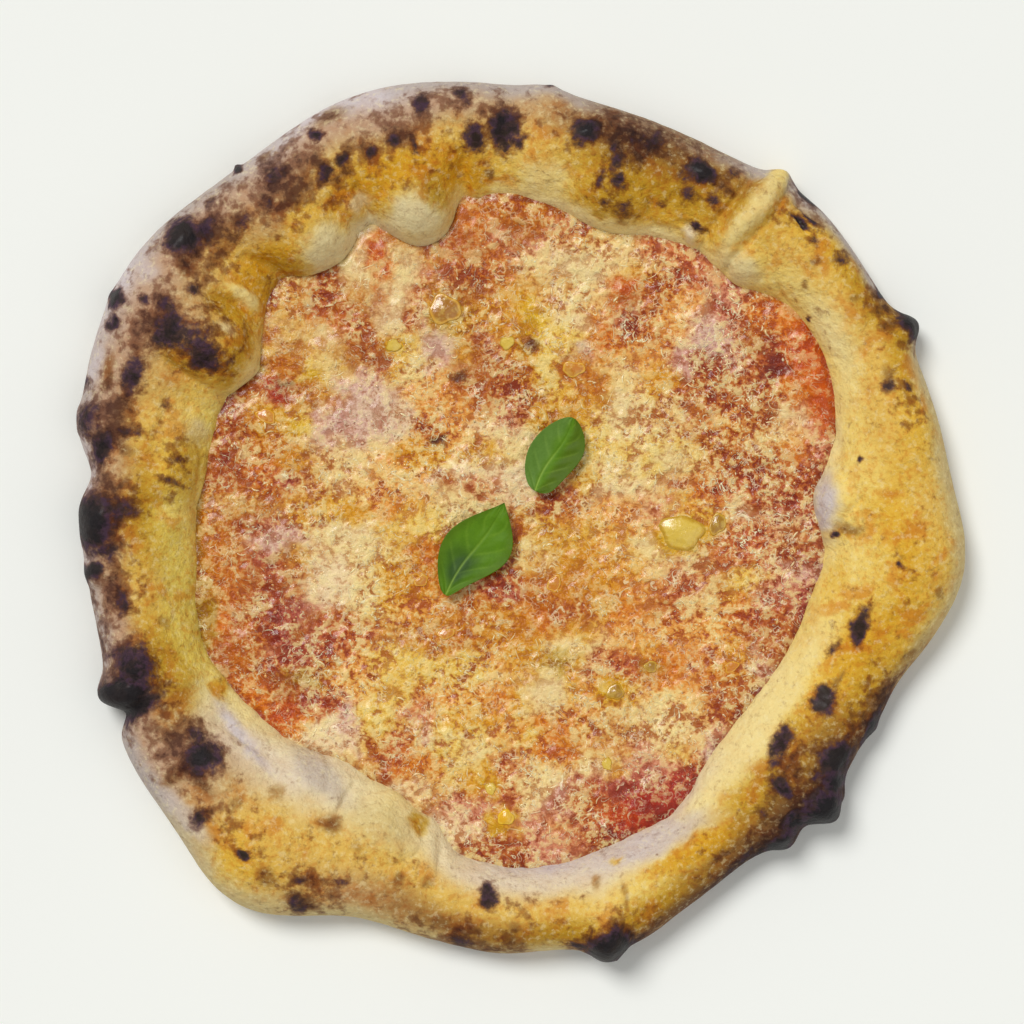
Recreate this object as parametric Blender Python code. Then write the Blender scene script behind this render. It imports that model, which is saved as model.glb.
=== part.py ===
"""A baked round pizza: dough with a raised blistered rim, tomato sauce, melted mozzarella and two basil leaves.

Metres, +Z up. The underside rests on z = 0 and the middle of the outline is near x = y = 0.
Lengths in the tables are millimetres and angles are degrees, counted from +X towards +Y.
"""

import bpy
import numpy as np
from mathutils import Matrix

MM = 0.001

# Dough
OUTER_RADIUS = 155.0        # the rim's outer edge, before its swells
INNER_RADIUS = 115.0        # the rim's inner edge, before its lobes
BASE_THICKNESS = 4.0        # dough under the sauce
CROWN_HEIGHT = 22.0         # top of the rim above the table
BULGE_HEIGHT = 0.40         # height of the widest point, as a share of the crown height
FOOT_INSET = 0.24           # how far the rim's outer side curls under, as a share of its width
AROUND = 160                # facets around the rim and the sauce
CAVITY_GAP = 0.3            # air between one piece and the next

# Swells and dents of the outer edge: (angle, half width, height)
OUTER_SWELLS = (
    (26.5, 2.6, 5.0), (47.6, 9.3, 3.8), (52.7, 2.1, 3.6), (70.9, 38.1, -5.3),
    (86.6, 3.4, 2.1), (128.6, 13.9, -8.7), (133.0, 40.0, 17.1), (166.8, 1.8, 1.5),
    (173.8, 3.2, -5.2), (202.3, 2.0, 4.3), (205.8, 1.8, -4.7), (212.0, 12.2, 9.2),
    (233.4, 12.5, 17.3), (245.6, 9.3, -4.9), (267.1, 5.6, 1.5), (281.2, 2.0, 4.3),
    (284.1, 6.8, 4.5), (313.2, 2.6, -7.2), (314.4, 6.4, 14.1), (314.5, 20.8, -10.8),
    (336.4, 5.9, -3.5), (354.4, 8.7, 6.1),
)

# Lobes (negative, towards the middle) and bays of the inner edge: (angle, half width, height)
INNER_LOBES = (
    (4.6, 6.7, -6.3), (32.3, 16.5, 10.2), (47.2, 5.3, -3.8), (73.3, 8.7, -5.9),
    (97.8, 9.7, 18.8), (100.5, 2.0, 4.6), (102.6, 13.5, -19.7), (117.1, 5.1, 9.4),
    (136.4, 5.7, 7.1), (150.4, 4.4, -6.0), (179.8, 5.8, 1.7), (202.2, 13.9, 8.1),
    (233.9, 6.5, -7.4), (245.5, 8.0, -10.3), (254.2, 3.5, -5.4), (274.2, 26.8, 12.6),
    (297.2, 8.0, 4.6), (319.7, 40.0, -9.6),
)

# Height of the crown along the rim: (angle, half width, height)
CROWN_SWELLS = (
    (8.0, 12.0, 2.5), (48.0, 10.0, 2.5), (75.0, 9.0, 3.5), (108.0, 9.0, 3.0),
    (127.0, 7.0, 3.0), (150.0, 8.0, 5.0), (179.0, 10.0, 1.5), (203.0, 7.0, 2.0),
    (231.0, 12.0, 4.0), (262.0, 9.0, -2.0), (283.0, 6.0, 2.5), (316.0, 8.0, 2.0),
    (352.0, 8.0, 3.0), (28.0, 10.0, -1.5), (92.0, 5.0, -2.5), (138.0, 4.0, -2.0),
    (192.0, 6.0, -1.5), (300.0, 9.0, -1.5),
)

# Blisters standing on the rim: (angle, place across the rim from 0 inside to 1 outside, radius, height)
BLISTERS = (
    (152.0, 0.42, 13.0, 4.0), (104.0, 0.25, 12.0, 2.5), (126.0, 0.30, 11.0, 2.5),
    (73.0, 0.30, 11.0, 3.0), (53.0, 0.35, 8.0, 3.0), (4.0, 0.22, 9.0, 2.5),
    (203.0, 0.82, 9.0, 3.0), (181.0, 0.80, 10.0, 2.5), (173.0, 0.25, 9.0, 2.0),
    (245.0, 0.25, 11.0, 2.5), (226.0, 0.30, 10.0, 2.0), (139.5, 0.80, 9.0, 2.0),
    (316.0, 0.85, 9.0, 2.5), (282.0, 0.85, 8.0, 2.5), (217.0, 0.45, 9.0, 1.8),
)

# Tomato sauce
SAUCE_TOP = 7.0             # mean height of the sauce above the table
SAUCE_WAVES = ((0.055, 0.031, 0.4, 0.35), (-0.037, 0.062, 1.9, 0.30), (0.090, -0.074, 3.1, 0.20))
SAUCE_EDGE = 2.2            # width of the sauce's rounded edge

# Melted mozzarella patches: (name, x, y, length, width, turn, height)
MOZZARELLA = (
    ("upper_left", -76.0, 68.0, 30.0, 24.0, 20.0, 2.6),
    ("lobe_side", -56.0, 89.0, 20.0, 13.0, 60.0, 2.8),
    ("streak", -42.0, 77.0, 30.0, 10.0, 112.0, 2.6),
    ("left", -90.0, 40.0, 24.0, 14.0, -20.0, 2.4),
    ("left_centre", -59.0, 37.0, 30.0, 16.0, 8.0, 2.4),
    ("round_pool", -27.5, 74.0, 17.0, 15.0, 0.0, 2.4),
    ("upper_centre", 12.0, 65.0, 24.0, 20.0, 80.0, 2.6),
    ("upper_band", 21.0, 95.0, 42.0, 12.0, -6.0, 2.2),
    ("upper_right", 67.0, 67.0, 22.0, 15.0, -30.0, 2.4),
    ("right_centre", 47.0, 20.0, 34.0, 15.0, 5.0, 2.4),
    ("right", 58.0, -4.0, 19.0, 14.0, -10.0, 3.2),
    ("left_low", -49.0, -52.0, 24.0, 16.0, 12.0, 2.2),
    ("low_left", -28.0, -82.0, 32.0, 18.0, -8.0, 2.4),
    ("low_centre", 12.0, -57.0, 30.0, 16.0, 10.0, 2.2),
    ("low_right", 54.0, -76.0, 26.0, 15.0, 28.0, 2.2),
    ("right_low", 76.0, -27.0, 22.0, 15.0, 40.0, 2.2),
    ("centre", -22.0, 21.0, 28.0, 13.0, 10.0, 2.2),
    ("left_side", -66.0, -8.0, 28.0, 14.0, -5.0, 2.2),
)
PATCH_AROUND = 18
PATCH_WOBBLE = 0.12         # unevenness of a patch's outline, as a share of its radius

# Basil leaves: (name, stem x, y, tip x, y, width, bend of the midrib, lift of the edges)
BASIL = (
    ("upper", 5.0, 10.6, 19.0, 36.0, 20.5, 1.5, 2.4),
    ("lower", -27.0, -26.6, -6.0, 6.0, 22.5, -2.0, 2.0),
)
LEAF_THICKNESS = 0.6
LEAF_HEIGHT = 10.4          # lowest point of a leaf above the table
LEAF_ALONG = 12
LEAF_ACROSS = 6


def swelling(angles, swells):
    """Sum of bell-shaped swells around the circle."""
    total = np.zeros_like(angles)
    for centre, half_width, height in swells:
        offset = (angles - centre + 180.0) % 360.0 - 180.0
        total += height * np.exp(-((offset / half_width) ** 2))
    return total


def outer_edge(angles):
    return OUTER_RADIUS + swelling(angles, OUTER_SWELLS)


def inner_edge(angles):
    return INNER_RADIUS + swelling(angles, INNER_LOBES)


def sauce_surface(x, y):
    """Height of the sauce's uneven top."""
    height = np.full_like(x, SAUCE_TOP)
    for along_x, along_y, phase, size in SAUCE_WAVES:
        height += size * np.sin(along_x * x + along_y * y + phase)
    return height


def blister_height(angles, across, rim_width, inner):
    """Extra height of the blisters at a place across the rim."""
    radius = inner + across * rim_width
    total = np.zeros_like(radius)
    for centre, place, size, height in BLISTERS:
        at = np.array([centre])
        blister_radius = inner_edge(at)[0] + place * (outer_edge(at)[0] - inner_edge(at)[0])
        along = np.radians((angles - centre + 180.0) % 360.0 - 180.0) * blister_radius
        distance = np.hypot(along, radius - blister_radius) / size
        total += height * np.exp(-(distance ** 2) * 1.6)
    return total


def rim_section(angles):
    """Rows of points from the underside, round the outside and over the crown, down to the well."""
    inner = inner_edge(angles)
    width = outer_edge(angles) - inner
    crown = CROWN_HEIGHT + swelling(angles, CROWN_SWELLS)
    middle = inner + 0.52 * width
    half_out = 0.48 * width
    half_in = 0.52 * width
    widest = BULGE_HEIGHT * crown
    rows = [(inner + (1.0 - FOOT_INSET) * width, np.zeros_like(angles))]
    for turn in np.radians((-42.0, -16.0, 12.0, 38.0, 60.0, 80.0)):
        radius = middle + half_out * np.cos(turn) ** 0.8
        rise = np.sign(np.sin(turn)) * abs(np.sin(turn)) ** 0.9
        height = widest + rise * np.where(rise > 0.0, crown - widest, widest)
        across = (radius - inner) / width
        rows.append((radius, height + max(rise, 0.0) * blister_height(angles, across, width, inner)))
    for turn in np.radians((100.0, 118.0, 136.0, 152.0, 166.0)):
        radius = middle - half_in * abs(np.cos(turn)) ** 0.85
        rise = np.sin(turn) ** 0.9
        height = widest + rise * (crown - widest)
        across = (radius - inner) / width
        rows.append((radius, height + rise * blister_height(angles, across, width, inner)))
    rows.append((inner, 0.75 * widest + 0.25 * BASE_THICKNESS))
    rows.append((inner, np.full_like(angles, BASE_THICKNESS)))
    return rows


def material(name, colour, roughness):
    made = bpy.data.materials.new(name)
    made.use_nodes = True
    shader = made.node_tree.nodes["Principled BSDF"]
    shader.inputs["Base Color"].default_value = (*colour, 1.0)
    shader.inputs["Roughness"].default_value = roughness
    return made


def add_object(name, points, faces, surface):
    """A mesh object from points in millimetres."""
    mesh = bpy.data.meshes.new(name)
    mesh.from_pydata([tuple(point) for point in np.asarray(points) * MM], [], faces)
    mesh.materials.append(surface)
    made = bpy.data.objects.new(name, mesh)
    bpy.context.scene.collection.objects.link(made)
    return made


def ring_solid(rows, centres):
    """Points and faces of a solid made of closed rings, capped by fans about the two centre points."""
    around = len(rows[0])
    points = [centres[0]]
    for row in rows:
        points.extend(row)
    points.append(centres[1])
    faces = []
    for row in range(len(rows) - 1):
        start = 1 + row * around
        for step in range(around):
            following = (step + 1) % around
            a = start + step
            b = start + following
            faces.append((a, b, b + around, a + around))
    last = 1 + (len(rows) - 1) * around
    for step in range(around):
        following = (step + 1) % around
        faces.append((0, 1 + following, 1 + step))
        faces.append((last + step, last + following, len(points) - 1))
    return points, faces


def ring(radius, height, angles):
    turned = np.radians(angles)
    return np.column_stack((radius * np.cos(turned), radius * np.sin(turned), height + 0.0 * radius))


def add_dough(surface):
    angles = np.arange(AROUND) * 360.0 / AROUND
    rows = [ring(radius, height, angles) for radius, height in rim_section(angles)]
    centres = ((0.0, 0.0, 0.0), (0.0, 0.0, BASE_THICKNESS))
    points, faces = ring_solid(rows, centres)
    return add_object("dough", points, faces, surface)


def add_sauce(surface):
    """A thin layer that fills the well, with a rounded edge."""
    angles = np.arange(AROUND) * 360.0 / AROUND
    edge = inner_edge(angles) - 2.0 * CAVITY_GAP
    floor = BASE_THICKNESS + CAVITY_GAP
    rows = [ring(edge, np.full_like(edge, floor), angles)]
    for radius, drop in ((edge, 1.2), (edge - SAUCE_EDGE, 0.0), (0.62 * edge, 0.0), (0.3 * edge, 0.0)):
        row = ring(radius, np.zeros_like(edge), angles)
        row[:, 2] = sauce_surface(row[:, 0], row[:, 1]) - drop
        rows.append(row)
    middle = sauce_surface(np.zeros(1), np.zeros(1))[0]
    points, faces = ring_solid(rows, ((0.0, 0.0, floor), (0.0, 0.0, middle)))
    return add_object("tomato_sauce", points, faces, surface)


def add_patch(index, patch, surface):
    """A low dome of melted cheese whose underside follows the sauce."""
    name, x, y, length, width, turn, height = patch
    angles = np.arange(PATCH_AROUND) * 2.0 * np.pi / PATCH_AROUND
    wobble = 1.0 + PATCH_WOBBLE * (np.sin(2.0 * angles + index) + 0.6 * np.sin(3.0 * angles + 2.3 * index))
    turned = np.radians(turn)
    along = 0.5 * length * wobble * np.cos(angles)
    side = 0.5 * width * wobble * np.sin(angles)
    offset_x = along * np.cos(turned) - side * np.sin(turned)
    offset_y = along * np.sin(turned) + side * np.cos(turned)
    rows = []
    for share, rise in ((1.0, 0.0), (0.95, 0.55), (0.68, 0.92)):
        px = x + share * offset_x
        py = y + share * offset_y
        pz = sauce_surface(px, py) + CAVITY_GAP * 2.0 + rise * height
        rows.append(np.column_stack((px, py, pz)))
    middle = sauce_surface(np.array([x]), np.array([y]))[0] + CAVITY_GAP * 2.0
    points, faces = ring_solid(rows, ((x, y, middle), (x, y, middle + height)))
    return add_object("mozzarella_" + name, points, faces, surface)


def add_leaf(leaf, surface):
    """A cupped leaf: two sheets that follow the bent midrib, joined along the edge."""
    name, stem_x, stem_y, tip_x, tip_y, width, bend, lift = leaf
    along = np.linspace(0.0, 1.0, LEAF_ALONG + 1)
    across = np.linspace(-1.0, 1.0, LEAF_ACROSS + 1)
    s, v = np.meshgrid(along, across, indexing="ij")
    length = np.hypot(tip_x - stem_x, tip_y - stem_y)
    forward = np.array(((tip_x - stem_x) / length, (tip_y - stem_y) / length))
    sideways = np.array((-forward[1], forward[0]))
    half = 0.5 * width * np.sin(np.pi * np.clip(s, 0.02, 0.98) ** 0.85) ** 0.72
    offset = bend * np.sin(np.pi * s) + v * half
    x = stem_x + forward[0] * s * length + sideways[0] * offset
    y = stem_y + forward[1] * s * length + sideways[1] * offset
    z = LEAF_HEIGHT + lift * v ** 2 * np.sin(np.pi * s) + 1.2 * (s - 0.5) ** 2 * 4.0
    count = LEAF_ACROSS + 1
    size = s.size
    low = np.column_stack((x.ravel(), y.ravel(), z.ravel()))
    points = np.vstack((low, low + (0.0, 0.0, LEAF_THICKNESS)))
    faces = []
    for i in range(LEAF_ALONG):
        for j in range(LEAF_ACROSS):
            a = i * count + j
            faces.append((a, a + 1, a + count + 1, a + count))
            faces.append((size + a, size + a + count, size + a + count + 1, size + a + 1))
    border = [j for j in range(count)]
    border += [i * count + LEAF_ACROSS for i in range(1, LEAF_ALONG + 1)]
    border += [LEAF_ALONG * count + j for j in range(LEAF_ACROSS - 1, -1, -1)]
    border += [i * count for i in range(LEAF_ALONG - 1, 0, -1)]
    for here, following in zip(border, border[1:] + border[:1]):
        faces.append((here, size + here, size + following, following))
    return add_object("basil_leaf_" + name, points, faces, surface)


def centre_on(dough, pieces):
    """Slides every piece sideways so that the dough's box is centred on the origin."""
    corners = np.array([vertex.co[:2] for vertex in dough.data.vertices])
    middle = (corners.min(axis=0) + corners.max(axis=0)) / 2.0
    slide = Matrix.Translation((-middle[0], -middle[1], 0.0))
    for piece in pieces:
        piece.data.transform(slide)


def main():
    for leftover in list(bpy.data.objects):
        bpy.data.objects.remove(leftover, do_unlink=True)
    crust = material("crust", (0.62, 0.40, 0.18), 0.75)
    sauce = material("sauce", (0.55, 0.14, 0.03), 0.30)
    cheese = material("cheese", (0.80, 0.60, 0.28), 0.35)
    leaf = material("leaf", (0.09, 0.24, 0.04), 0.45)
    dough = add_dough(crust)
    pieces = [dough, add_sauce(sauce)]
    pieces += [add_patch(index, patch, cheese) for index, patch in enumerate(MOZZARELLA)]
    pieces += [add_leaf(entry, leaf) for entry in BASIL]
    centre_on(dough, pieces)


main()
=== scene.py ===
"""Looks of a baked round pizza: blistered, charred crust, melted topping, grated shreds, oil and basil.

Lengths in the tables are millimetres, angles are degrees from +X towards +Y. Colours are sRGB.
"""

import bpy
import numpy as np
from bpy.props import FloatProperty, FloatVectorProperty, PointerProperty
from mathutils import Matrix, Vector


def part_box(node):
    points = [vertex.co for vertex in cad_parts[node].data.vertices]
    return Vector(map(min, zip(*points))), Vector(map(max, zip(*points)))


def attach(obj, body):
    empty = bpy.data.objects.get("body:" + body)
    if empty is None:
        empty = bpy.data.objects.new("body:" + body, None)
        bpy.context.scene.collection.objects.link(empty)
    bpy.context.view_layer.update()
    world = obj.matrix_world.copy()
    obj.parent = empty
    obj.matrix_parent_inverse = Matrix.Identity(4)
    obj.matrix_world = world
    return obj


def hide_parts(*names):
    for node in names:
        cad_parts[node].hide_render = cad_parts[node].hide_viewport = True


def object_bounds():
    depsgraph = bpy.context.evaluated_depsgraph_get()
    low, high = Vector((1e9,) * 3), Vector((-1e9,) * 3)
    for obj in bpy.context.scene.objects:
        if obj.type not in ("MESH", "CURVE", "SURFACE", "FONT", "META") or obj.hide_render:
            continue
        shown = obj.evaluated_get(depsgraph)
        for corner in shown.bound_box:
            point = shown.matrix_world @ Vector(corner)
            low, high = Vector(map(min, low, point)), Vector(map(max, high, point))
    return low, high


bl_info = {
    "name": "Baked pizza",
    "version": (1, 0, 0),
    "blender": (4, 5, 0),
    "location": "View3D > Sidebar > Pizza",
    "description": "Builds the crust, topping, grated shreds, oil and basil of a baked round pizza",
    "category": "Add Mesh",
}

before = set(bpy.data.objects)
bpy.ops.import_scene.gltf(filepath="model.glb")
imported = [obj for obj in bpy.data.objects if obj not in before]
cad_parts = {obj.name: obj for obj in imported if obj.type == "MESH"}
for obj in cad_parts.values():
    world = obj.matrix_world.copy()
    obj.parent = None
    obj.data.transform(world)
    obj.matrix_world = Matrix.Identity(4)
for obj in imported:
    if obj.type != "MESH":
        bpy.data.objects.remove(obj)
CAD_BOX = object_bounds()
DOUGH_LOW, DOUGH_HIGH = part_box("dough")
MM = 0.001

# ---------------------------------------------------------------------------------------- shape tables

OUTER_RADIUS = 155.0
INNER_RADIUS = 115.0
BASE_THICKNESS = 4.0
SAUCE_TOP = 7.0

# Swells and dents of the outer edge: (angle, half width, height)
OUTER_SWELLS = (
    (26.5, 2.6, 5.0), (47.6, 9.3, 3.8), (52.7, 2.1, 3.6), (70.9, 38.1, -5.3), (86.6, 3.4, 2.1),
    (128.6, 13.9, -8.7), (133.0, 40.0, 17.1), (166.8, 1.8, 1.5), (173.8, 3.2, -5.2), (202.3, 2.0, 4.3),
    (205.8, 1.8, -4.7), (212.0, 12.2, 9.2), (233.4, 12.5, 17.3), (245.6, 9.3, -4.9), (267.1, 5.6, 1.5),
    (281.2, 2.0, 4.3), (284.1, 6.8, 4.5), (313.2, 2.6, -7.2), (314.4, 6.4, 14.1), (314.5, 20.8, -10.8),
    (336.4, 5.9, -3.5), (354.4, 8.7, 6.1),
)

# Lobes (negative, towards the middle) and bays of the inner edge: (angle, half width, height)
INNER_LOBES = (
    (4.6, 6.7, -6.3), (32.3, 16.5, 10.2), (47.2, 5.3, -3.8), (73.3, 8.7, -5.9), (97.8, 9.7, 18.8),
    (100.5, 2.0, 4.6), (102.6, 13.5, -19.7), (117.1, 5.1, 9.4), (136.4, 5.7, 7.1), (150.4, 4.4, -6.0),
    (179.8, 5.8, 1.7), (202.2, 13.9, 8.1), (233.9, 6.5, -7.4), (245.5, 8.0, -10.3), (254.2, 3.5, -5.4),
    (274.2, 26.8, 12.6), (297.2, 8.0, 4.6), (319.7, 40.0, -9.6),
)

# Height of the crown along the rim: (angle, half width, height)
CROWN_SWELLS = (
    (8.0, 12.0, 2.5), (48.0, 10.0, 2.5), (75.0, 9.0, 3.5), (108.0, 9.0, 3.0), (127.0, 7.0, 3.0),
    (150.0, 8.0, 5.0), (179.0, 10.0, 1.5), (203.0, 7.0, 2.0), (231.0, 12.0, 4.0), (262.0, 9.0, -2.0),
    (283.0, 6.0, 2.5), (316.0, 8.0, 2.0), (352.0, 8.0, 3.0), (28.0, 10.0, -1.5), (92.0, 5.0, -2.5),
    (138.0, 4.0, -2.0), (192.0, 6.0, -1.5), (300.0, 9.0, -1.5),
)

# Bubbles and folds of the rim: (angle, radius, half length along the rim, half width across it, height)
BUBBLES = (
    (151.0, 126.0, 15.0, 17.0, 5.5), (109.0, 116.0, 14.0, 14.0, 4.5), (126.0, 122.0, 13.0, 12.0, 4.5),
    (74.5, 119.0, 15.0, 12.0, 4.0), (53.0, 136.0, 6.0, 26.0, 4.5), (49.0, 121.0, 8.0, 8.0, 3.0),
    (2.0, 112.0, 14.0, 8.0, 4.0), (172.5, 124.0, 13.0, 10.0, 2.6), (180.0, 124.0, 7.0, 7.0, 1.2),
    (246.0, 121.0, 14.0, 12.0, 3.5), (228.0, 119.0, 12.0, 9.0, 2.6), (262.0, 131.0, 20.0, 8.0, 1.4),
    (204.0, 157.0, 6.5, 9.5, 4.5), (187.0, 154.0, 5.0, 7.0, 2.8), (180.0, 152.0, 13.0, 9.0, 2.6),
    (202.0, 147.0, 12.0, 8.0, 2.2), (140.0, 157.0, 9.0, 8.0, 2.4), (217.0, 142.0, 14.0, 9.0, 1.8),
    (151.5, 163.0, 6.0, 5.0, 2.6), (167.0, 158.0, 8.0, 7.0, 2.0), (316.0, 149.0, 10.0, 7.0, 3.0),
    (281.5, 155.0, 9.0, 7.0, 3.5), (309.0, 147.0, 6.0, 5.0, 2.2), (323.0, 142.0, 9.0, 7.0, 1.8),
    (80.5, 140.5, 6.0, 5.0, 2.0), (62.0, 140.0, 6.0, 5.0, 1.6), (59.0, 120.3, 3.8, 3.2, 2.4),
    (141.0, 127.0, 3.0, 8.0, 2.2), (118.5, 127.0, 7.0, 6.0, 1.8), (26.5, 154.0, 5.0, 5.0, 2.5),
    (208.0, 121.0, 7.0, 5.0, 1.6), (344.0, 112.0, 12.0, 6.0, 1.4), (232.0, 148.0, 22.0, 12.0, 1.8),
    (88.0, 130.0, 12.0, 12.0, 1.6), (33.0, 133.0, 16.0, 10.0, 1.2), (297.0, 133.0, 20.0, 8.0, 1.5),
    (354.0, 140.0, 22.0, 14.0, 1.6), (14.0, 140.0, 18.0, 12.0, 1.4), (100.0, 152.0, 16.0, 9.0, 1.4),
    (118.0, 152.0, 18.0, 9.0, 1.6), (160.0, 150.0, 16.0, 9.0, 1.4), (191.0, 137.0, 18.0, 9.0, 1.2),
)

# Creases and cracks: (angle, radius at one end, angle, radius at the other end, half width, depth)
CREASES = (
    (117.0, 119.0, 116.5, 133.0, 1.6, 3.2), (134.0, 121.0, 136.5, 136.0, 2.6, 3.0),
    (100.0, 119.0, 98.5, 133.0, 1.8, 2.2), (142.0, 121.0, 144.0, 140.0, 1.6, 1.8),
    (157.0, 117.0, 156.0, 140.0, 1.8, 2.2), (161.0, 116.0, 160.0, 130.0, 2.2, 1.4),
    (76.0, 127.0, 70.0, 126.0, 0.7, 1.2), (70.0, 126.0, 65.5, 117.0, 0.7, 1.3),
    (62.0, 121.5, 57.0, 121.5, 0.9, 2.2), (43.5, 125.0, 38.0, 125.3, 0.7, 1.2),
    (49.0, 150.0, 44.5, 150.0, 0.8, 2.0), (48.5, 146.5, 45.0, 145.0, 0.8, 2.0),
    (3.0, 121.5, 358.5, 114.0, 1.0, 2.0), (57.0, 116.0, 56.0, 150.0, 1.4, 1.6),
    (50.5, 118.0, 51.0, 150.0, 1.2, 1.4), (66.0, 116.0, 62.0, 118.0, 1.2, 1.0),
    (12.0, 116.0, 22.0, 119.5, 1.4, 1.4), (309.0, 108.5, 296.0, 120.0, 1.2, 0.9),
    (238.0, 113.0, 238.0, 124.0, 1.2, 1.6), (225.0, 122.0, 214.0, 130.0, 1.3, 1.2),
    (256.0, 118.0, 257.0, 130.0, 1.6, 1.3), (169.0, 134.0, 158.0, 134.5, 1.0, 0.9),
    (210.0, 131.0, 222.0, 126.0, 0.9, 0.8), (181.0, 118.0, 166.0, 120.0, 1.2, 0.9),
)

# Burnt nubs that stick out of the outer side: (angle, half width, outward reach, height above the table)
NUBS = (
    (26.4, 1.5, 1.5, 12.0), (316.3, 1.6, 1.5, 13.0), (319.6, 1.0, 1.2, 11.0), (281.4, 1.6, 1.5, 13.0),
    (309.0, 1.6, 1.2, 10.0), (128.8, 0.5, 1.5, 10.0), (329.5, 1.2, 1.0, 10.0), (167.5, 1.4, 1.0, 12.0),
    (151.3, 1.6, 0.8, 14.0), (85.8, 0.8, 0.8, 12.0),
)

# Crust colours, darkest to lightest
CRUST_COLOURS = {
    "soot": (36, 28, 30), "plum": (70, 46, 46), "umber": (98, 64, 36), "brown": (124, 82, 38),
    "chestnut": (156, 110, 44), "tan": (202, 160, 104), "fawn": (198, 162, 130), "biscuit": (234, 190, 88),
    "honey": (234, 184, 58), "gold": (216, 156, 18), "ochre": (192, 144, 26), "olive": (234, 206, 92),
    "straw": (250, 218, 118), "cream": (252, 230, 158), "shell": (236, 220, 170), "flour": (236, 218, 188),
    "ash": (190, 176, 168), "stone": (218, 194, 132), "lavender": (214, 202, 202), "rust": (120, 40, 20),
}

# Colours around the rim: (angle, inner edge, inner slope, crown, outer slope, outer edge)
# The greys and lilacs of the outer-edge column (ash, lavender, stone) are partly floury dough and partly
# painted shade of the steep outer side, which falls away from the light.
BAKE_ZONES = (
    (2.0, "cream", "straw", "honey", "biscuit", "stone"),
    (15.0, "cream", "straw", "biscuit", "honey", "stone"),
    (30.0, "straw", "cream", "biscuit", "ochre", "ash"),
    (45.0, "straw", "straw", "biscuit", "honey", "ash"),
    (62.0, "cream", "honey", "ochre", "chestnut", "ash"),
    (75.0, "shell", "honey", "ochre", "brown", "ash"), (88.0, "cream", "straw", "biscuit", "tan", "ash"),
    (100.0, "straw", "gold", "biscuit", "fawn", "ash"),
    (110.0, "shell", "gold", "honey", "fawn", "lavender"),
    (120.0, "shell", "gold", "biscuit", "fawn", "lavender"),
    (130.0, "cream", "honey", "tan", "fawn", "ash"), (137.0, "gold", "gold", "biscuit", "fawn", "ash"),
    (150.0, "cream", "honey", "tan", "fawn", "lavender"),
    (165.0, "olive", "straw", "biscuit", "fawn", "ash"),
    (178.0, "straw", "olive", "ochre", "tan", "lavender"),
    (190.0, "olive", "olive", "biscuit", "fawn", "ash"), (202.0, "olive", "olive", "ochre", "fawn", "ash"),
    (215.0, "cream", "flour", "fawn", "fawn", "ash"),
    (230.0, "flour", "flour", "biscuit", "honey", "stone"),
    (245.0, "cream", "cream", "biscuit", "tan", "stone"),
    (262.0, "flour", "flour", "biscuit", "chestnut", "stone"),
    (275.0, "lavender", "flour", "biscuit", "ochre", "stone"),
    (290.0, "flour", "flour", "straw", "ochre", "brown"),
    (300.0, "flour", "cream", "honey", "chestnut", "umber"),
    (315.0, "cream", "cream", "ochre", "umber", "umber"),
    (330.0, "cream", "straw", "honey", "ochre", "brown"),
    (345.0, "straw", "straw", "gold", "honey", "stone"),
)

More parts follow.
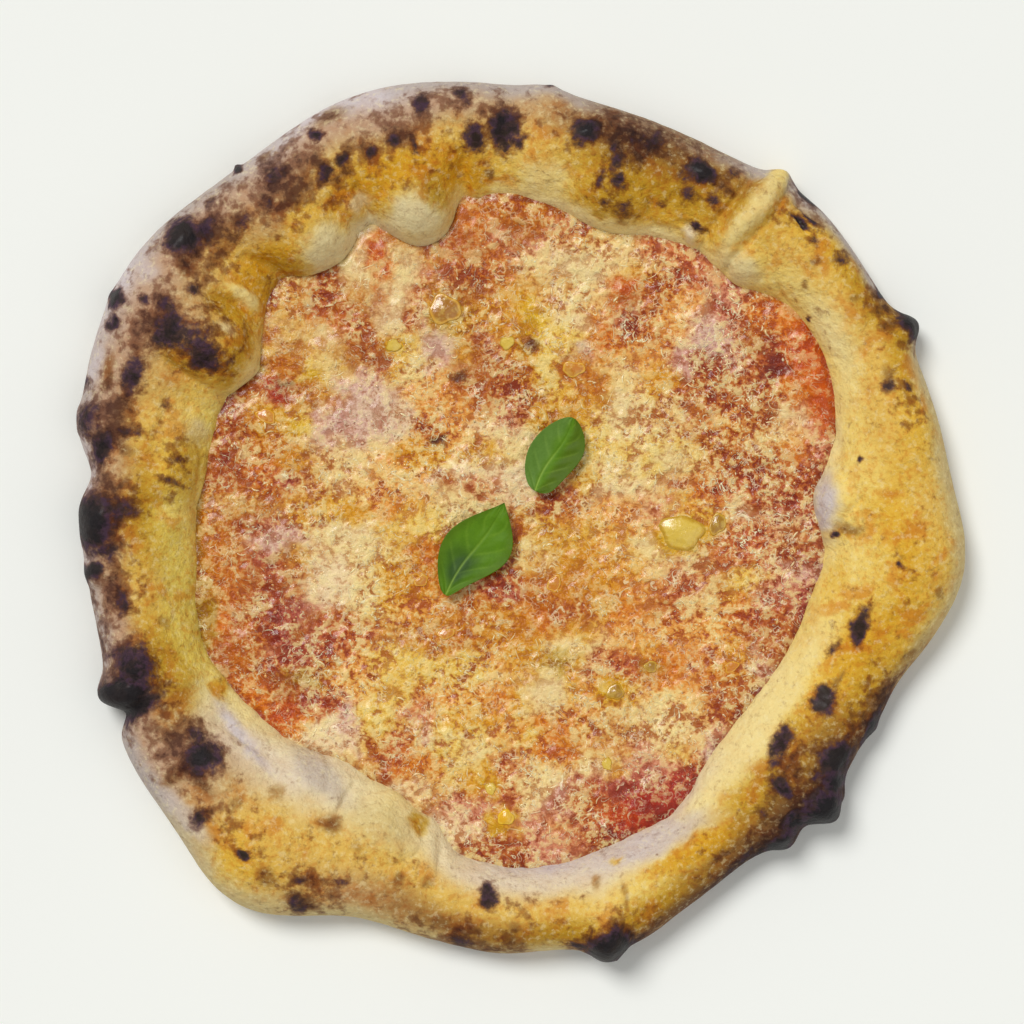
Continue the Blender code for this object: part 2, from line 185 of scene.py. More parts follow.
# Spots of colour and char: (angle, radius, length along the rim, width across it, colour, strength)
CRUST_SPOTS = (
    # broad tints; the lavender and ash bands near the outer edge are partly floury dough and partly painted
    # shade of the outer side
    (108.0, 132.0, 52.0, 15.0, "gold", 0.75), (98.0, 123.0, 12.0, 8.0, "gold", 0.8),
    (135.0, 128.0, 14.0, 14.0, "gold", 0.85), (126.0, 134.0, 16.0, 9.0, "honey", 0.7),
    (144.0, 131.0, 10.0, 14.0, "ochre", 0.8), (154.0, 133.0, 12.0, 18.0, "ochre", 0.8),
    (151.0, 119.0, 18.0, 5.0, "ochre", 0.55), (117.0, 128.0, 12.0, 8.0, "flour", 0.75),
    (109.0, 117.0, 28.0, 18.0, "shell", 0.95), (125.5, 122.0, 24.0, 15.0, "shell", 0.9),
    (141.0, 128.0, 5.0, 14.0, "cream", 0.85), (147.0, 127.0, 5.0, 9.0, "flour", 0.6),
    (165.0, 121.0, 11.0, 7.0, "flour", 0.6), (171.0, 127.0, 18.0, 10.0, "honey", 0.7),
    (179.0, 126.0, 8.0, 9.0, "straw", 0.5), (53.0, 136.0, 9.0, 44.0, "cream", 0.8),
    (49.0, 121.0, 16.0, 9.0, "shell", 0.75), (53.2, 155.0, 7.0, 10.0, "straw", 0.8),
    (74.5, 119.5, 24.0, 11.0, "ochre", 0.6), (73.0, 112.0, 40.0, 7.0, "cream", 0.8),
    (86.0, 123.0, 18.0, 14.0, "cream", 0.65), (3.0, 111.0, 24.0, 9.0, "lavender", 0.95),
    (358.0, 116.0, 5.0, 12.0, "honey", 0.6), (8.0, 126.0, 20.0, 14.0, "straw", 0.6),
    (32.0, 132.0, 26.0, 12.0, "cream", 0.6), (350.0, 130.0, 34.0, 14.0, "straw", 0.55),
    (348.0, 116.0, 22.0, 8.0, "honey", 0.5), (328.0, 113.0, 56.0, 12.0, "cream", 0.7),
    (298.0, 134.0, 44.0, 8.0, "gold", 0.7), (293.0, 125.0, 52.0, 10.0, "lavender", 0.7),
    (245.0, 121.0, 30.0, 14.0, "stone", 0.6), (232.0, 117.0, 30.0, 10.0, "ash", 0.5),
    (218.0, 126.0, 34.0, 5.0, "lavender", 0.85), (209.0, 125.0, 8.0, 5.0, "gold", 0.75),
    (198.0, 122.0, 40.0, 20.0, "olive", 0.6), (214.0, 118.0, 24.0, 10.0, "cream", 0.5),
    (222.0, 160.0, 28.0, 8.0, "lavender", 0.6), (70.0, 149.0, 60.0, 9.0, "brown", 0.6),
    (28.0, 151.0, 20.0, 9.0, "ochre", 0.8), (321.0, 134.0, 46.0, 18.0, "chestnut", 0.5),
    (316.0, 149.0, 64.0, 6.0, "umber", 0.45), (301.0, 148.0, 24.0, 4.0, "umber", 0.5),
    (150.0, 120.0, 26.0, 9.0, "ochre", 0.75), (134.0, 122.0, 18.0, 14.0, "ochre", 0.9),
    (105.0, 123.0, 9.0, 14.0, "ochre", 0.8), (170.0, 122.0, 26.0, 12.0, "ochre", 0.55),
    (265.0, 155.0, 36.0, 5.0, "brown", 0.7), (240.0, 158.0, 9.0, 8.0, "brown", 0.7),
    (160.0, 162.0, 16.0, 5.0, "lavender", 0.6), (146.0, 160.0, 8.0, 8.0, "lavender", 0.5),
    (134.0, 165.0, 50.0, 5.0, "ash", 0.5), (204.0, 135.0, 26.0, 12.0, "ochre", 0.5),
    # char
    (92.5, 140.0, 9.0, 14.0, "plum", 0.9), (97.0, 138.0, 7.0, 9.0, "plum", 0.9),
    (90.0, 136.0, 4.0, 6.0, "umber", 0.8), (95.3, 124.8, 4.0, 3.0, "brown", 0.8),
    (98.0, 153.5, 6.0, 7.0, "umber", 0.8), (103.5, 153.0, 5.0, 8.0, "plum", 0.75),
    (108.8, 142.5, 4.0, 5.0, "umber", 0.9), (112.2, 142.0, 4.0, 3.5, "umber", 0.9),
    (116.5, 143.3, 5.0, 4.0, "plum", 0.85), (119.5, 142.5, 6.0, 6.0, "umber", 0.9),
    (106.0, 139.0, 3.0, 6.0, "umber", 0.8), (118.0, 155.7, 5.0, 4.5, "plum", 0.9),
    (115.0, 160.0, 16.0, 5.0, "brown", 0.5), (125.5, 152.0, 9.0, 7.0, "umber", 0.7),
    (128.5, 145.0, 4.0, 4.5, "umber", 0.6), (124.7, 159.0, 6.0, 3.0, "brown", 0.5),
    (133.0, 146.5, 8.0, 6.0, "umber", 0.6), (134.5, 158.5, 5.0, 4.0, "umber", 0.6),
    (140.0, 157.5, 12.0, 11.0, "soot", 1.0), (137.0, 153.5, 9.0, 5.0, "plum", 0.8),
    (143.0, 150.0, 7.0, 7.0, "brown", 0.5), (144.5, 142.5, 5.0, 5.5, "plum", 0.7),
    (149.5, 156.5, 4.0, 3.0, "plum", 0.8), (151.2, 164.5, 7.0, 6.0, "soot", 0.9),
    (154.0, 162.5, 5.0, 4.5, "plum", 0.9), (149.2, 147.0, 6.0, 7.0, "plum", 0.7),
    (151.6, 141.5, 13.0, 10.0, "plum", 0.9), (151.0, 134.0, 12.0, 10.0, "plum", 0.6),
    (152.3, 128.5, 9.0, 9.0, "plum", 0.85), (152.0, 121.0, 12.0, 3.0, "umber", 0.5),
    (159.5, 148.0, 12.0, 6.5, "plum", 0.8), (160.0, 156.5, 14.0, 4.0, "brown", 0.6),
    (167.0, 159.0, 12.0, 9.0, "umber", 0.85), (162.5, 163.0, 5.0, 3.0, "umber", 0.8),
    (170.3, 152.5, 13.0, 6.5, "plum", 0.95), (167.3, 142.0, 4.0, 11.0, "umber", 0.55),
    (169.8, 143.0, 5.0, 7.0, "brown", 0.6), (162.0, 134.0, 5.0, 4.0, "umber", 0.5),
    (178.7, 143.0, 8.0, 13.0, "umber", 0.75), (180.0, 154.0, 16.0, 14.0, "soot", 1.0),
    (186.8, 154.5, 5.5, 9.0, "soot", 0.95), (184.0, 150.0, 8.0, 11.0, "umber", 0.8),
    (173.6, 127.5, 3.0, 8.0, "umber", 0.6), (170.0, 125.5, 3.0, 8.0, "umber", 0.5),
    (191.8, 146.0, 9.0, 4.0, "umber", 0.8), (204.2, 158.5, 14.0, 24.0, "soot", 1.1),
    (201.2, 147.5, 17.0, 13.0, "plum", 0.85), (206.0, 151.0, 7.0, 14.0, "soot", 0.9),
    (203.0, 157.8, 2.5, 2.5, "rust", 0.7), (198.0, 153.0, 5.0, 8.0, "umber", 0.6),
    (216.6, 141.5, 10.5, 11.0, "soot", 0.85), (213.8, 138.0, 8.0, 7.0, "plum", 0.6),
    (216.5, 155.0, 6.0, 10.0, "brown", 0.6), (223.0, 156.5, 6.0, 8.0, "plum", 0.75),
    (219.5, 148.5, 14.0, 6.0, "brown", 0.4), (225.0, 143.0, 5.0, 6.0, "brown", 0.4),
    (230.4, 155.0, 5.0, 3.5, "soot", 0.95), (234.5, 156.5, 10.0, 6.0, "brown", 0.55),
    (238.5, 150.5, 5.0, 4.0, "umber", 0.7), (243.3, 144.5, 5.0, 3.5, "umber", 0.7),
    (239.8, 159.5, 7.0, 8.0, "umber", 0.8), (237.8, 127.5, 8.0, 6.5, "brown", 0.8),
    (250.8, 136.3, 5.0, 4.0, "brown", 0.6), (255.5, 134.0, 5.0, 4.0, "brown", 0.4),
    (258.5, 146.5, 6.0, 5.0, "brown", 0.5), (264.8, 135.5, 6.0, 8.0, "plum", 0.9),
    (262.0, 152.5, 8.0, 4.0, "umber", 0.6), (269.5, 152.0, 7.0, 5.0, "brown", 0.6),
    (269.0, 146.0, 4.0, 5.0, "brown", 0.5), (251.0, 115.5, 8.0, 7.0, "ochre", 0.8),
    (228.3, 131.0, 5.0, 6.0, "chestnut", 0.5), (243.2, 131.0, 4.0, 4.0, "chestnut", 0.5),
    (207.6, 120.3, 5.0, 4.5, "umber", 0.85), (196.0, 133.0, 5.0, 4.0, "brown", 0.4),
    (205.0, 165.0, 4.0, 3.0, "soot", 0.8), (342.3, 127.0, 12.0, 5.5, "plum", 0.95),
    (329.3, 126.5, 9.0, 7.0, "soot", 0.95), (338.0, 120.8, 6.0, 3.0, "umber", 0.7),
    (333.5, 127.5, 8.0, 3.0, "brown", 0.6), (319.3, 122.5, 11.0, 6.0, "plum", 0.9),
    (316.3, 125.5, 8.0, 4.0, "umber", 0.6), (314.3, 133.5, 5.0, 9.0, "plum", 0.85),
    (309.2, 135.5, 5.0, 5.5, "umber", 0.6), (323.0, 141.0, 13.0, 9.0, "soot", 0.95),
    (316.0, 150.0, 16.0, 12.0, "soot", 0.95), (320.5, 146.5, 10.0, 8.0, "soot", 0.8),
    (308.6, 148.5, 9.0, 7.0, "soot", 0.95), (329.0, 147.0, 14.0, 3.5, "soot", 0.8),
    (312.5, 146.0, 12.0, 6.0, "soot", 0.75), (303.5, 145.5, 8.0, 3.5, "umber", 0.7),
    (281.6, 156.0, 15.0, 11.0, "soot", 1.0), (277.5, 153.5, 8.0, 4.0, "plum", 0.8),
    (285.5, 141.0, 3.0, 11.0, "chestnut", 0.6), (350.0, 152.0, 5.0, 4.0, "brown", 0.5),
    (340.8, 147.5, 5.0, 4.0, "brown", 0.5), (353.2, 136.0, 2.0, 3.0, "umber", 0.8),
    (282.0, 132.5, 4.0, 4.5, "chestnut", 0.5), (285.5, 127.3, 5.0, 2.5, "honey", 0.7),
    (319.0, 142.0, 7.0, 6.0, "umber", 0.6), (80.5, 140.7, 9.0, 7.5, "soot", 0.95),
    (81.3, 135.0, 4.0, 5.0, "umber", 0.6), (75.0, 132.0, 5.0, 8.0, "umber", 0.8),
    (74.2, 126.5, 4.0, 4.0, "plum", 0.8), (77.0, 126.0, 3.0, 4.0, "umber", 0.7),
    (72.0, 142.5, 12.0, 7.0, "umber", 0.5), (70.3, 144.5, 5.0, 5.0, "plum", 0.6),
    (67.7, 140.0, 5.0, 6.0, "brown", 0.7), (76.0, 136.5, 4.0, 4.0, "umber", 0.7),
    (62.4, 140.3, 10.0, 6.5, "soot", 0.95), (59.0, 132.5, 5.0, 5.5, "umber", 0.7),
    (63.3, 130.8, 8.0, 6.0, "umber", 0.6), (66.0, 124.8, 4.0, 2.5, "umber", 0.6),
    (64.3, 136.0, 7.0, 5.0, "umber", 0.55), (58.3, 146.0, 6.0, 6.0, "umber", 0.6),
    (48.5, 155.3, 12.0, 3.5, "soot", 0.85), (46.0, 149.8, 8.0, 2.0, "soot", 0.9),
    (46.9, 146.0, 8.0, 2.2, "soot", 0.9), (43.8, 145.8, 4.0, 4.0, "umber", 0.6),
    (39.2, 148.0, 5.0, 4.5, "umber", 0.7), (41.5, 140.0, 4.0, 4.0, "brown", 0.5),
    (33.5, 143.5, 4.0, 5.0, "brown", 0.45), (32.2, 154.5, 6.0, 4.0, "soot", 0.85),
    (26.6, 157.0, 12.0, 7.0, "soot", 1.0), (18.7, 146.5, 5.0, 3.0, "umber", 0.7),
    (21.0, 140.5, 10.0, 3.5, "brown", 0.6), (19.9, 139.5, 3.5, 3.5, "umber", 0.8),
    (39.8, 131.8, 3.0, 3.0, "brown", 0.7), (35.1, 127.5, 1.5, 1.2, "umber", 0.9),
    (10.5, 124.6, 2.2, 1.8, "umber", 0.95), (357.9, 113.1, 2.4, 2.0, "plum", 0.95),
    (358.8, 118.0, 4.0, 8.0, "brown", 0.6), (75.0, 119.0, 5.0, 4.0, "umber", 0.6),
    (71.5, 118.0, 8.0, 5.0, "umber", 0.55), (76.0, 114.0, 5.0, 3.0, "ochre", 0.7),
    (71.8, 113.5, 5.0, 3.5, "chestnut", 0.6), (58.6, 122.6, 7.0, 2.0, "umber", 0.95),
    (59.2, 120.0, 7.0, 4.5, "flour", 0.85), (128.8, 161.5, 3.0, 3.0, "soot", 0.9),
    (35.5, 155.5, 6.0, 2.5, "umber", 0.6), (85.8, 156.5, 5.0, 2.5, "umber", 0.7),
    (178.5, 147.5, 6.0, 6.0, "plum", 0.7),
)

# Where the skin is toasted brown: (angle, radius, half length along the rim, half width across it, amount)
TOAST = (
    (75.0, 141.0, 28.0, 10.0, 0.95), (61.0, 137.0, 14.0, 9.0, 0.6), (93.0, 143.0, 16.0, 9.0, 0.75),
    (76.0, 124.0, 12.0, 8.0, 0.35), (110.0, 144.0, 20.0, 8.0, 0.85), (104.0, 151.0, 24.0, 7.0, 0.7),
    (124.0, 145.0, 20.0, 12.0, 1.1), (118.0, 139.0, 12.0, 6.0, 0.8), (138.0, 149.0, 20.0, 12.0, 1.0),
    (150.0, 133.0, 16.0, 14.0, 0.7), (152.0, 150.0, 18.0, 9.0, 1.0), (166.0, 150.0, 18.0, 10.0, 1.0),
    (178.0, 148.0, 20.0, 12.0, 1.0), (170.0, 127.0, 14.0, 7.0, 0.6), (190.0, 147.0, 16.0, 10.0, 0.9),
    (203.0, 150.0, 16.0, 12.0, 1.0), (214.0, 146.0, 18.0, 12.0, 0.95), (226.0, 151.0, 18.0, 8.0, 0.6),
    (240.0, 152.0, 20.0, 8.0, 0.7), (262.0, 150.0, 28.0, 8.0, 0.65), (283.0, 152.0, 20.0, 8.0, 0.85),
    (314.0, 146.0, 32.0, 11.0, 0.85), (318.0, 131.0, 22.0, 9.0, 0.55), (332.0, 146.0, 18.0, 10.0, 0.95),
    (30.0, 151.0, 18.0, 7.0, 0.8), (47.0, 149.0, 14.0, 8.0, 0.65), (105.0, 132.0, 24.0, 8.0, 0.35),
    (120.0, 134.0, 14.0, 8.0, 0.55), (135.0, 125.0, 14.0, 9.0, 0.25), (17.0, 144.0, 16.0, 8.0, 0.45),
    (350.0, 140.0, 30.0, 12.0, 0.25), (300.0, 140.0, 20.0, 8.0, 0.3), (270.0, 140.0, 22.0, 8.0, 0.35),
    (246.0, 138.0, 24.0, 10.0, 0.35), (222.0, 138.0, 16.0, 8.0, 0.3), (344.0, 124.0, 14.0, 6.0, 0.3),
    (130.0, 156.0, 60.0, 6.0, 0.6), (195.0, 158.0, 50.0, 6.0, 0.7), (33.0, 127.0, 16.0, 6.0, 0.25),
)

# Colour, grain, wetness and pull of each tone of the topping
TONES = {
    "cream": ((244, 208, 136), 0.70, 0.7, 1.0), "butter": ((238, 192, 76), 0.65, 0.8, 1.0),
    "milk": ((246, 216, 164), 0.65, 0.7, 1.0), "peach": ((236, 158, 62), 0.80, 0.7, 0.9),
    "tan": ((216, 148, 64), 0.85, 0.7, 0.8), "lilac": ((226, 176, 160), 0.85, 0.8, 0.85),
    "pink": ((214, 134, 98), 0.85, 0.8, 0.9), "rose": ((204, 104, 46), 0.95, 0.8, 0.9),
    "magenta": ((178, 76, 56), 0.90, 0.9, 0.9), "rust": ((190, 98, 22), 1.00, 0.8, 1.0),
    "brick": ((164, 62, 10), 0.80, 0.9, 1.0), "red": ((176, 40, 10), 0.45, 1.0, 1.3),
    "darkred": ((134, 40, 12), 0.40, 1.0, 1.2), "flame": ((208, 88, 4), 0.30, 1.0, 1.6),
    "orange": ((220, 118, 8), 0.50, 0.9, 0.9), "amber": ((202, 112, 0), 0.60, 1.0, 1.2),
    "gold": ((220, 146, 2), 0.60, 1.0, 1.1), "yolk": ((224, 176, 8), 0.05, 1.0, 2.6),
    "honey": ((220, 156, 34), 0.60, 0.9, 0.9), "olive": ((172, 126, 8), 0.30, 1.0, 2.0),
    "umber": ((94, 46, 10), 0.30, 0.9, 3.4), "glaze": ((178, 92, 4), 0.10, 1.0, 1.5),
    "syrup": ((216, 142, 2), 0.12, 1.0, 1.4), "melt": ((238, 208, 146), 0.00, 1.0, 2.2),
    "veil": ((216, 176, 152), 0.15, 0.9, 1.5),
}

# Where each tone lies: (x, y, length along x, length along y)
TOPPING = {
    "melt": (
        (-48, 86, 18, 8), (-59, 92, 8, 10), (-40, 92, 6, 11), (-49, 76, 9, 11), (-77, 67, 16, 9),
        (-70, 58, 10, 6), (20, 92, 14, 7), (52, 22, 14, 7), (-62, -6, 12, 6), (34, 40, 8, 6),
        (6, -62, 8, 6), (44, -8, 6, 6),
    ),
    "veil": (
        (-58, 43, 18, 14), (-30, 64, 7, 7), (66, 68, 9, 10), (-92, -9, 12, 6), (20, 60, 5, 4),
        (100, -18, 6, 6),
    ),
    "glaze": (
        (-20, 100, 16, 12), (-20, 84, 12, 8), (-60, 78, 12, 10), (-60, 60, 14, 8), (-80, 44, 14, 10),
        (-84, 62, 8, 10), (-102, 40, 8, 14), (-104, 18, 8, 14), (-100, -20, 9, 14), (-100, -44, 10, 16),
        (-84, -62, 10, 8), (84, 62, 9, 9), (-40, 100, 10, 6), (-16, 56, 10, 8), (38, 80, 8, 6),
        (0, 104, 12, 6), (-100, 2, 12, 8), (-78, -38, 8, 6),
    ),
    "syrup": (
        (-22, -38, 18, 9), (0, -38, 12, 9), (18, -20, 15, 10), (-44, -22, 9, 10), (22, 40, 9, 6),
        (-90, 36, 9, 6), (-4, 70, 8, 8), (-82, 20, 8, 8), (-20, 60, 6, 5), (20, -40, 10, 6),
        (-60, 4, 10, 5), (0, -60, 8, 6),
    ),
    "cream": (
        (-57, 86, 9, 14), (-44, 90, 6, 18), (-70, 62, 20, 6), (-40, 57, 10, 12), (-60, 20, 20, 14),
        (-22, 6, 22, 10), (15, 92, 26, 12), (38, 94, 22, 8), (30, 38, 16, 8), (50, 35, 20, 10),
        (35, 20, 14, 14), (60, 17, 14, 10), (-60, -8, 22, 12), (-100, 4, 14, 6), (-55, -25, 12, 16),
        (5, -62, 14, 12), (-15, -84, 20, 12), (57, -79, 16, 10), (45, -12, 12, 12), (50, -70, 22, 10),
        (5, -96, 12, 12), (90, 30, 14, 8), (22, -45, 18, 12), (38, 52, 14, 12), (-5, 30, 8, 8),
        (66, -30, 10, 8), (4, -10, 8, 12), (-48, -8, 10, 8), (30, -88, 14, 6), (25, 78, 12, 10),
    ),
    "milk": (
        (-47, 74, 9, 14), (-52, 40, 12, 12), (-18, 17, 26, 9), (20, 73, 12, 8), (-73, -22, 14, 12),
        (-68, -79, 14, 10), (-40, -96, 16, 8), (97, 37, 12, 7), (-22, -112, 14, 8), (10, -16, 6, 8),
        (80, 3, 12, 6), (36, 10, 16, 8), (-12, 34, 14, 8), (60, -14, 10, 8), (95, -4, 10, 8),
        (-3, 12, 8, 9),
    ),
    "butter": (
        (-40, 0, 14, 8), (60, 3, 16, 8), (2, -78, 14, 8), (-2, -84, 8, 6), (-85, 68, 11, 16),
        (-72, 57, 22, 8), (12, 63, 14, 18), (48, 22, 26, 12), (-45, -53, 20, 15), (-52, -72, 10, 15),
        (-25, -79, 20, 17), (-20, -55, 18, 9), (-42, 62, 8, 10), (5, 76, 8, 8), (-80, 38, 9, 12),
        (80, -22, 10, 10), (57, -84, 12, 6), (28, 30, 9, 12), (-66, 4, 14, 6), (24, -8, 12, 8),
    ),
    "peach": (
        (-48, 14, 18, 16), (-32, 50, 16, 9), (-25, 37, 18, 14), (35, 3, 20, 9), (57, 75, 14, 12),
        (30, -10, 10, 12), (60, -42, 22, 14), (40, -42, 20, 12), (-62, -55, 18, 12), (-30, -63, 14, 9),
        (-15, -64, 18, 11), (60, -62, 16, 12), (42, -24, 12, 14), (22, -70, 10, 12), (-35, -32, 14, 10),
        (45, 60, 10, 14), (75, 34, 10, 10), (12, -110, 9, 6), (-10, -55, 10, 10), (70, -40, 10, 10),
        (-8, -76, 10, 8),
    ),
    "tan": (
        (-82, 82, 9, 14), (-35, 97, 9, 9), (-75, 12, 12, 18), (20, 102, 22, 6), (10, 83, 12, 10),
        (-57, -90, 14, 9), (70, -22, 14, 10), (30, -74, 22, 12), (52, 35, 10, 8), (-33, -96, 12, 10),
        (48, -30, 12, 10), (45, 92, 8, 6), (-45, -40, 10, 8),
    ),
    "lilac": (
        (-58, 51, 15, 9), (-62, 34, 22, 12), (-30, 60, 13, 7), (-90, -9, 18, 9), (-79, -36, 6, 6),
        (-62, -72, 7, 12), (65, 68, 13, 13), (59, 55, 8, 8), (42, 77, 3, 9), (25, 60, 7, 3),
        (103, -17, 8, 9), (-36, 75, 4, 12), (-20, 58, 6, 6), (85, -52, 9, 8), (14, -103, 9, 8),
        (-101, 27, 5, 8), (76, 62, 8, 8), (-92, -46, 9, 4), (-33, -80, 8, 8), (68, -82, 5, 7),
    ),
    "pink": (
        (-8, 104, 14, 16), (-27, 87, 12, 5), (-93, 44, 4, 6), (78, 80, 12, 12), (84, 86, 8, 7),
        (100, 42, 9, 5), (107, 27, 10, 14), (35, 72, 10, 6), (-10, 65, 10, 10), (52, 3, 18, 6),
        (-98, -22, 5, 12), (-36, -70, 10, 8), (97, -23, 10, 11), (68, -53, 10, 9), (14, -110, 13, 12),
        (45, -88, 14, 10), (55, -93, 9, 8), (-15, -104, 18, 9), (5, -113, 12, 7), (76, 71, 9, 9),
        (66, 92, 8, 8), (-88, 15, 7, 6), (8, 103, 15, 8), (70, -78, 6, 6), (88, -25, 8, 9), (-5, 40, 8, 8),
    ),
    "rose": (
        (-38, 84, 8, 12), (-95, -4, 10, 6), (-64, 70, 8, 8), (-40, 72, 6, 6), (-24, 97, 12, 10),
        (52, 98, 13, 6), (62, 90, 12, 9), (78, 10, 18, 11), (104, 9, 8, 14), (-90, -51, 18, 12),
        (-66, -45, 16, 12), (-44, -84, 10, 11), (57, -26, 17, 14), (85, -6, 16, 10), (88, -32, 16, 8),
        (62, -87, 6, 12), (-10, -25, 14, 7), (72, -12, 16, 8), (-4, -99, 8, 12), (-58, 77, 6, 6),
        (-12, 12, 14, 7), (57, 12, 9, 5), (-4, -88, 8, 10), (30, -100, 8, 8), (85, 60, 12, 8),
        (-104, 14, 10, 7), (-70, -70, 6, 5), (-100, -16, 8, 9), (35, -52, 14, 8), (-35, -67, 7, 6),
    ),
    "magenta": (
        (-88, -38, 18, 16), (-96, -17, 11, 9), (-78, -45, 10, 14), (-77, -63, 8, 10), (35, -94, 15, 9),
        (-87, 14, 8, 7), (-50, 57, 5, 5), (96, 6, 12, 12), (-62, 76, 5, 5), (43, -96, 10, 6),
        (-5, -27, 8, 4), (102, -30, 5, 9),
    ),
    "rust": (
        (-15, 88, 16, 9), (-70, 84, 11, 9), (-60, 68, 12, 12), (-102, 24, 11, 14), (-8, 55, 13, 9),
        (-14, 45, 20, 10), (48, 84, 12, 11), (65, 44, 15, 11), (78, 47, 18, 11), (66, 34, 14, 10),
        (80, 22, 22, 13), (93, 12, 17, 18), (88, 38, 16, 9), (104, 14, 8, 12), (-85, -20, 13, 11),
        (90, -43, 15, 15), (78, -62, 15, 8), (74, -68, 12, 9), (23, -107, 13, 12), (18, -33, 14, 8),
        (-7, -18, 8, 8), (-34, 34, 7, 6), (-66, 44, 12, 5), (15, 9, 15, 7), (-52, -80, 6, 9),
        (96, -8, 10, 8), (-10, -117, 12, 6), (43, 68, 10, 9), (96, -36, 8, 10), (-26, 14, 6, 5),
        (-62, -38, 14, 5), (50, -28, 8, 8), (-72, -52, 8, 6),
    ),
    "brick": (
        (-56, 62, 8, 5), (-104, 40, 8, 14), (-101, -40, 8, 14), (-100, -2, 10, 5), (-50, 78, 5, 9),
        (-86, 62, 5, 9), (-92, 80, 5, 18), (-107, 22, 4, 12), (-95, -33, 7, 12), (40, 70, 8, 8),
        (66, 58, 14, 6), (104, -13, 8, 6), (108, 18, 6, 6), (-12, -116, 10, 6), (-77, 75, 14, 6),
        (30, -113, 10, 4), (-104, 44, 6, 8), (70, 100, 8, 4), (-35, 100, 6, 4), (-48, -94, 8, 5),
    ),
    "red": ((-86, 47, 9, 6), (46, -103, 14, 11), (58, -98, 8, 9), (39, -108, 12, 7)),
    "darkred": ((-85, 46, 5, 3), (92, 57, 7, 8), (46, -105, 6, 5)),
    "flame": (
        (103, 62, 8, 12), (108, 46, 9, 20), (-52, 95, 9, 7), (-84, -70, 8, 8), (-51, 87, 5, 12),
        (112, 36, 6, 10), (36, 83, 10, 8), (33, -107, 14, 6),
    ),
    "orange": (
        (-12, 93, 13, 9), (-72, 73, 17, 9), (-95, 17, 11, 11), (100, 51, 11, 10), (97, 72, 8, 9),
        (88, 74, 11, 12), (33, 63, 11, 11), (28, 75, 8, 7), (65, 9, 9, 13), (98, 27, 7, 11),
        (-98, -42, 8, 15), (-107, -38, 8, 7), (-103, -24, 7, 16), (10, -76, 15, 7), (8, -36, 13, 9),
        (-40, -88, 9, 10), (37, -32, 13, 14), (66, -56, 12, 8), (-95, -60, 12, 8), (-18, 104, 10, 12),
        (-80, -74, 9, 6), (-32, -88, 10, 6), (-37, -16, 10, 10), (8, -84, 12, 8), (50, -52, 10, 10),
        (-45, 4, 12, 6), (-8, -62, 8, 6), (78, -30, 6, 10), (-62, 80, 6, 4),
    ),
    "amber": (
        (-78, 64, 9, 9), (-98, 34, 10, 14), (-97, -38, 9, 14), (-84, 56, 8, 8), (-94, 8, 9, 7),
        (20, -22, 12, 10), (-110, -12, 11, 24), (-3, 112, 18, 7), (20, 55, 10, 7), (-20, -35, 20, 9),
        (-28, -43, 22, 7), (8, -22, 12, 16), (-112, 30, 4, 10), (5, 108, 10, 7), (-88, 27, 10, 8),
        (-100, -50, 6, 12), (-2, -4, 6, 10), (-115, -22, 5, 12), (28, 48, 9, 7), (0, -38, 8, 8),
    ),
    "gold": (
        (-5, 72, 14, 17), (0, 58, 9, 8), (-45, 64, 9, 7), (-92, 37, 15, 11), (-72, 45, 13, 6),
        (-45, -23, 13, 17), (25, -18, 22, 14), (-8, -38, 12, 9), (22, 42, 11, 7), (18, -57, 5, 9),
        (34, -62, 8, 7), (76, -53, 13, 9), (-12, -95, 13, 9), (34, -88, 6, 6), (42, 88, 10, 7),
        (-35, 23, 12, 8), (-70, 5, 14, 6), (-15, -72, 12, 7), (-45, 56, 8, 6), (-2, -66, 5, 8),
        (4, -50, 10, 6), (-86, 33, 10, 8), (24, 36, 5, 8), (50, 50, 8, 6),
    ),
    "honey": (
        (20, -8, 22, 10), (-45, -9, 12, 11), (22, 15, 9, 9), (-28, 76, 17, 16), (-15, 26, 12, 8),
        (12, -4, 8, 8), (45, -45, 10, 6), (-40, -18, 8, 8), (58, -4, 18, 14), (-82, -12, 8, 6),
        (30, -30, 8, 8), (10, 40, 10, 6),
    ),
    "olive": (
        (-115, -28, 5, 16), (47, -53, 6, 5), (-80, -56, 14, 6), (-27, 75, 9, 8), (-118, -8, 4, 20),
        (12, -52, 9, 5),
    ),
    "yolk": (
        (-90, 37, 10, 7), (-79, 33, 7, 4), (-45, 62, 6, 4), (-76, 50, 7, 3), (-5.5, -107.5, 7, 7),
        (58, -4, 12, 9), (34, -62, 5, 5), (-11, -97, 4, 5), (3, 72, 7, 8),
    ),
    "umber": ((3.2, 62.5, 4, 3), (-20, 52, 4, 3), (-27.5, 76.5, 4, 3), (-31, 29, 3, 3), (-84, 50, 4, 2)),
}

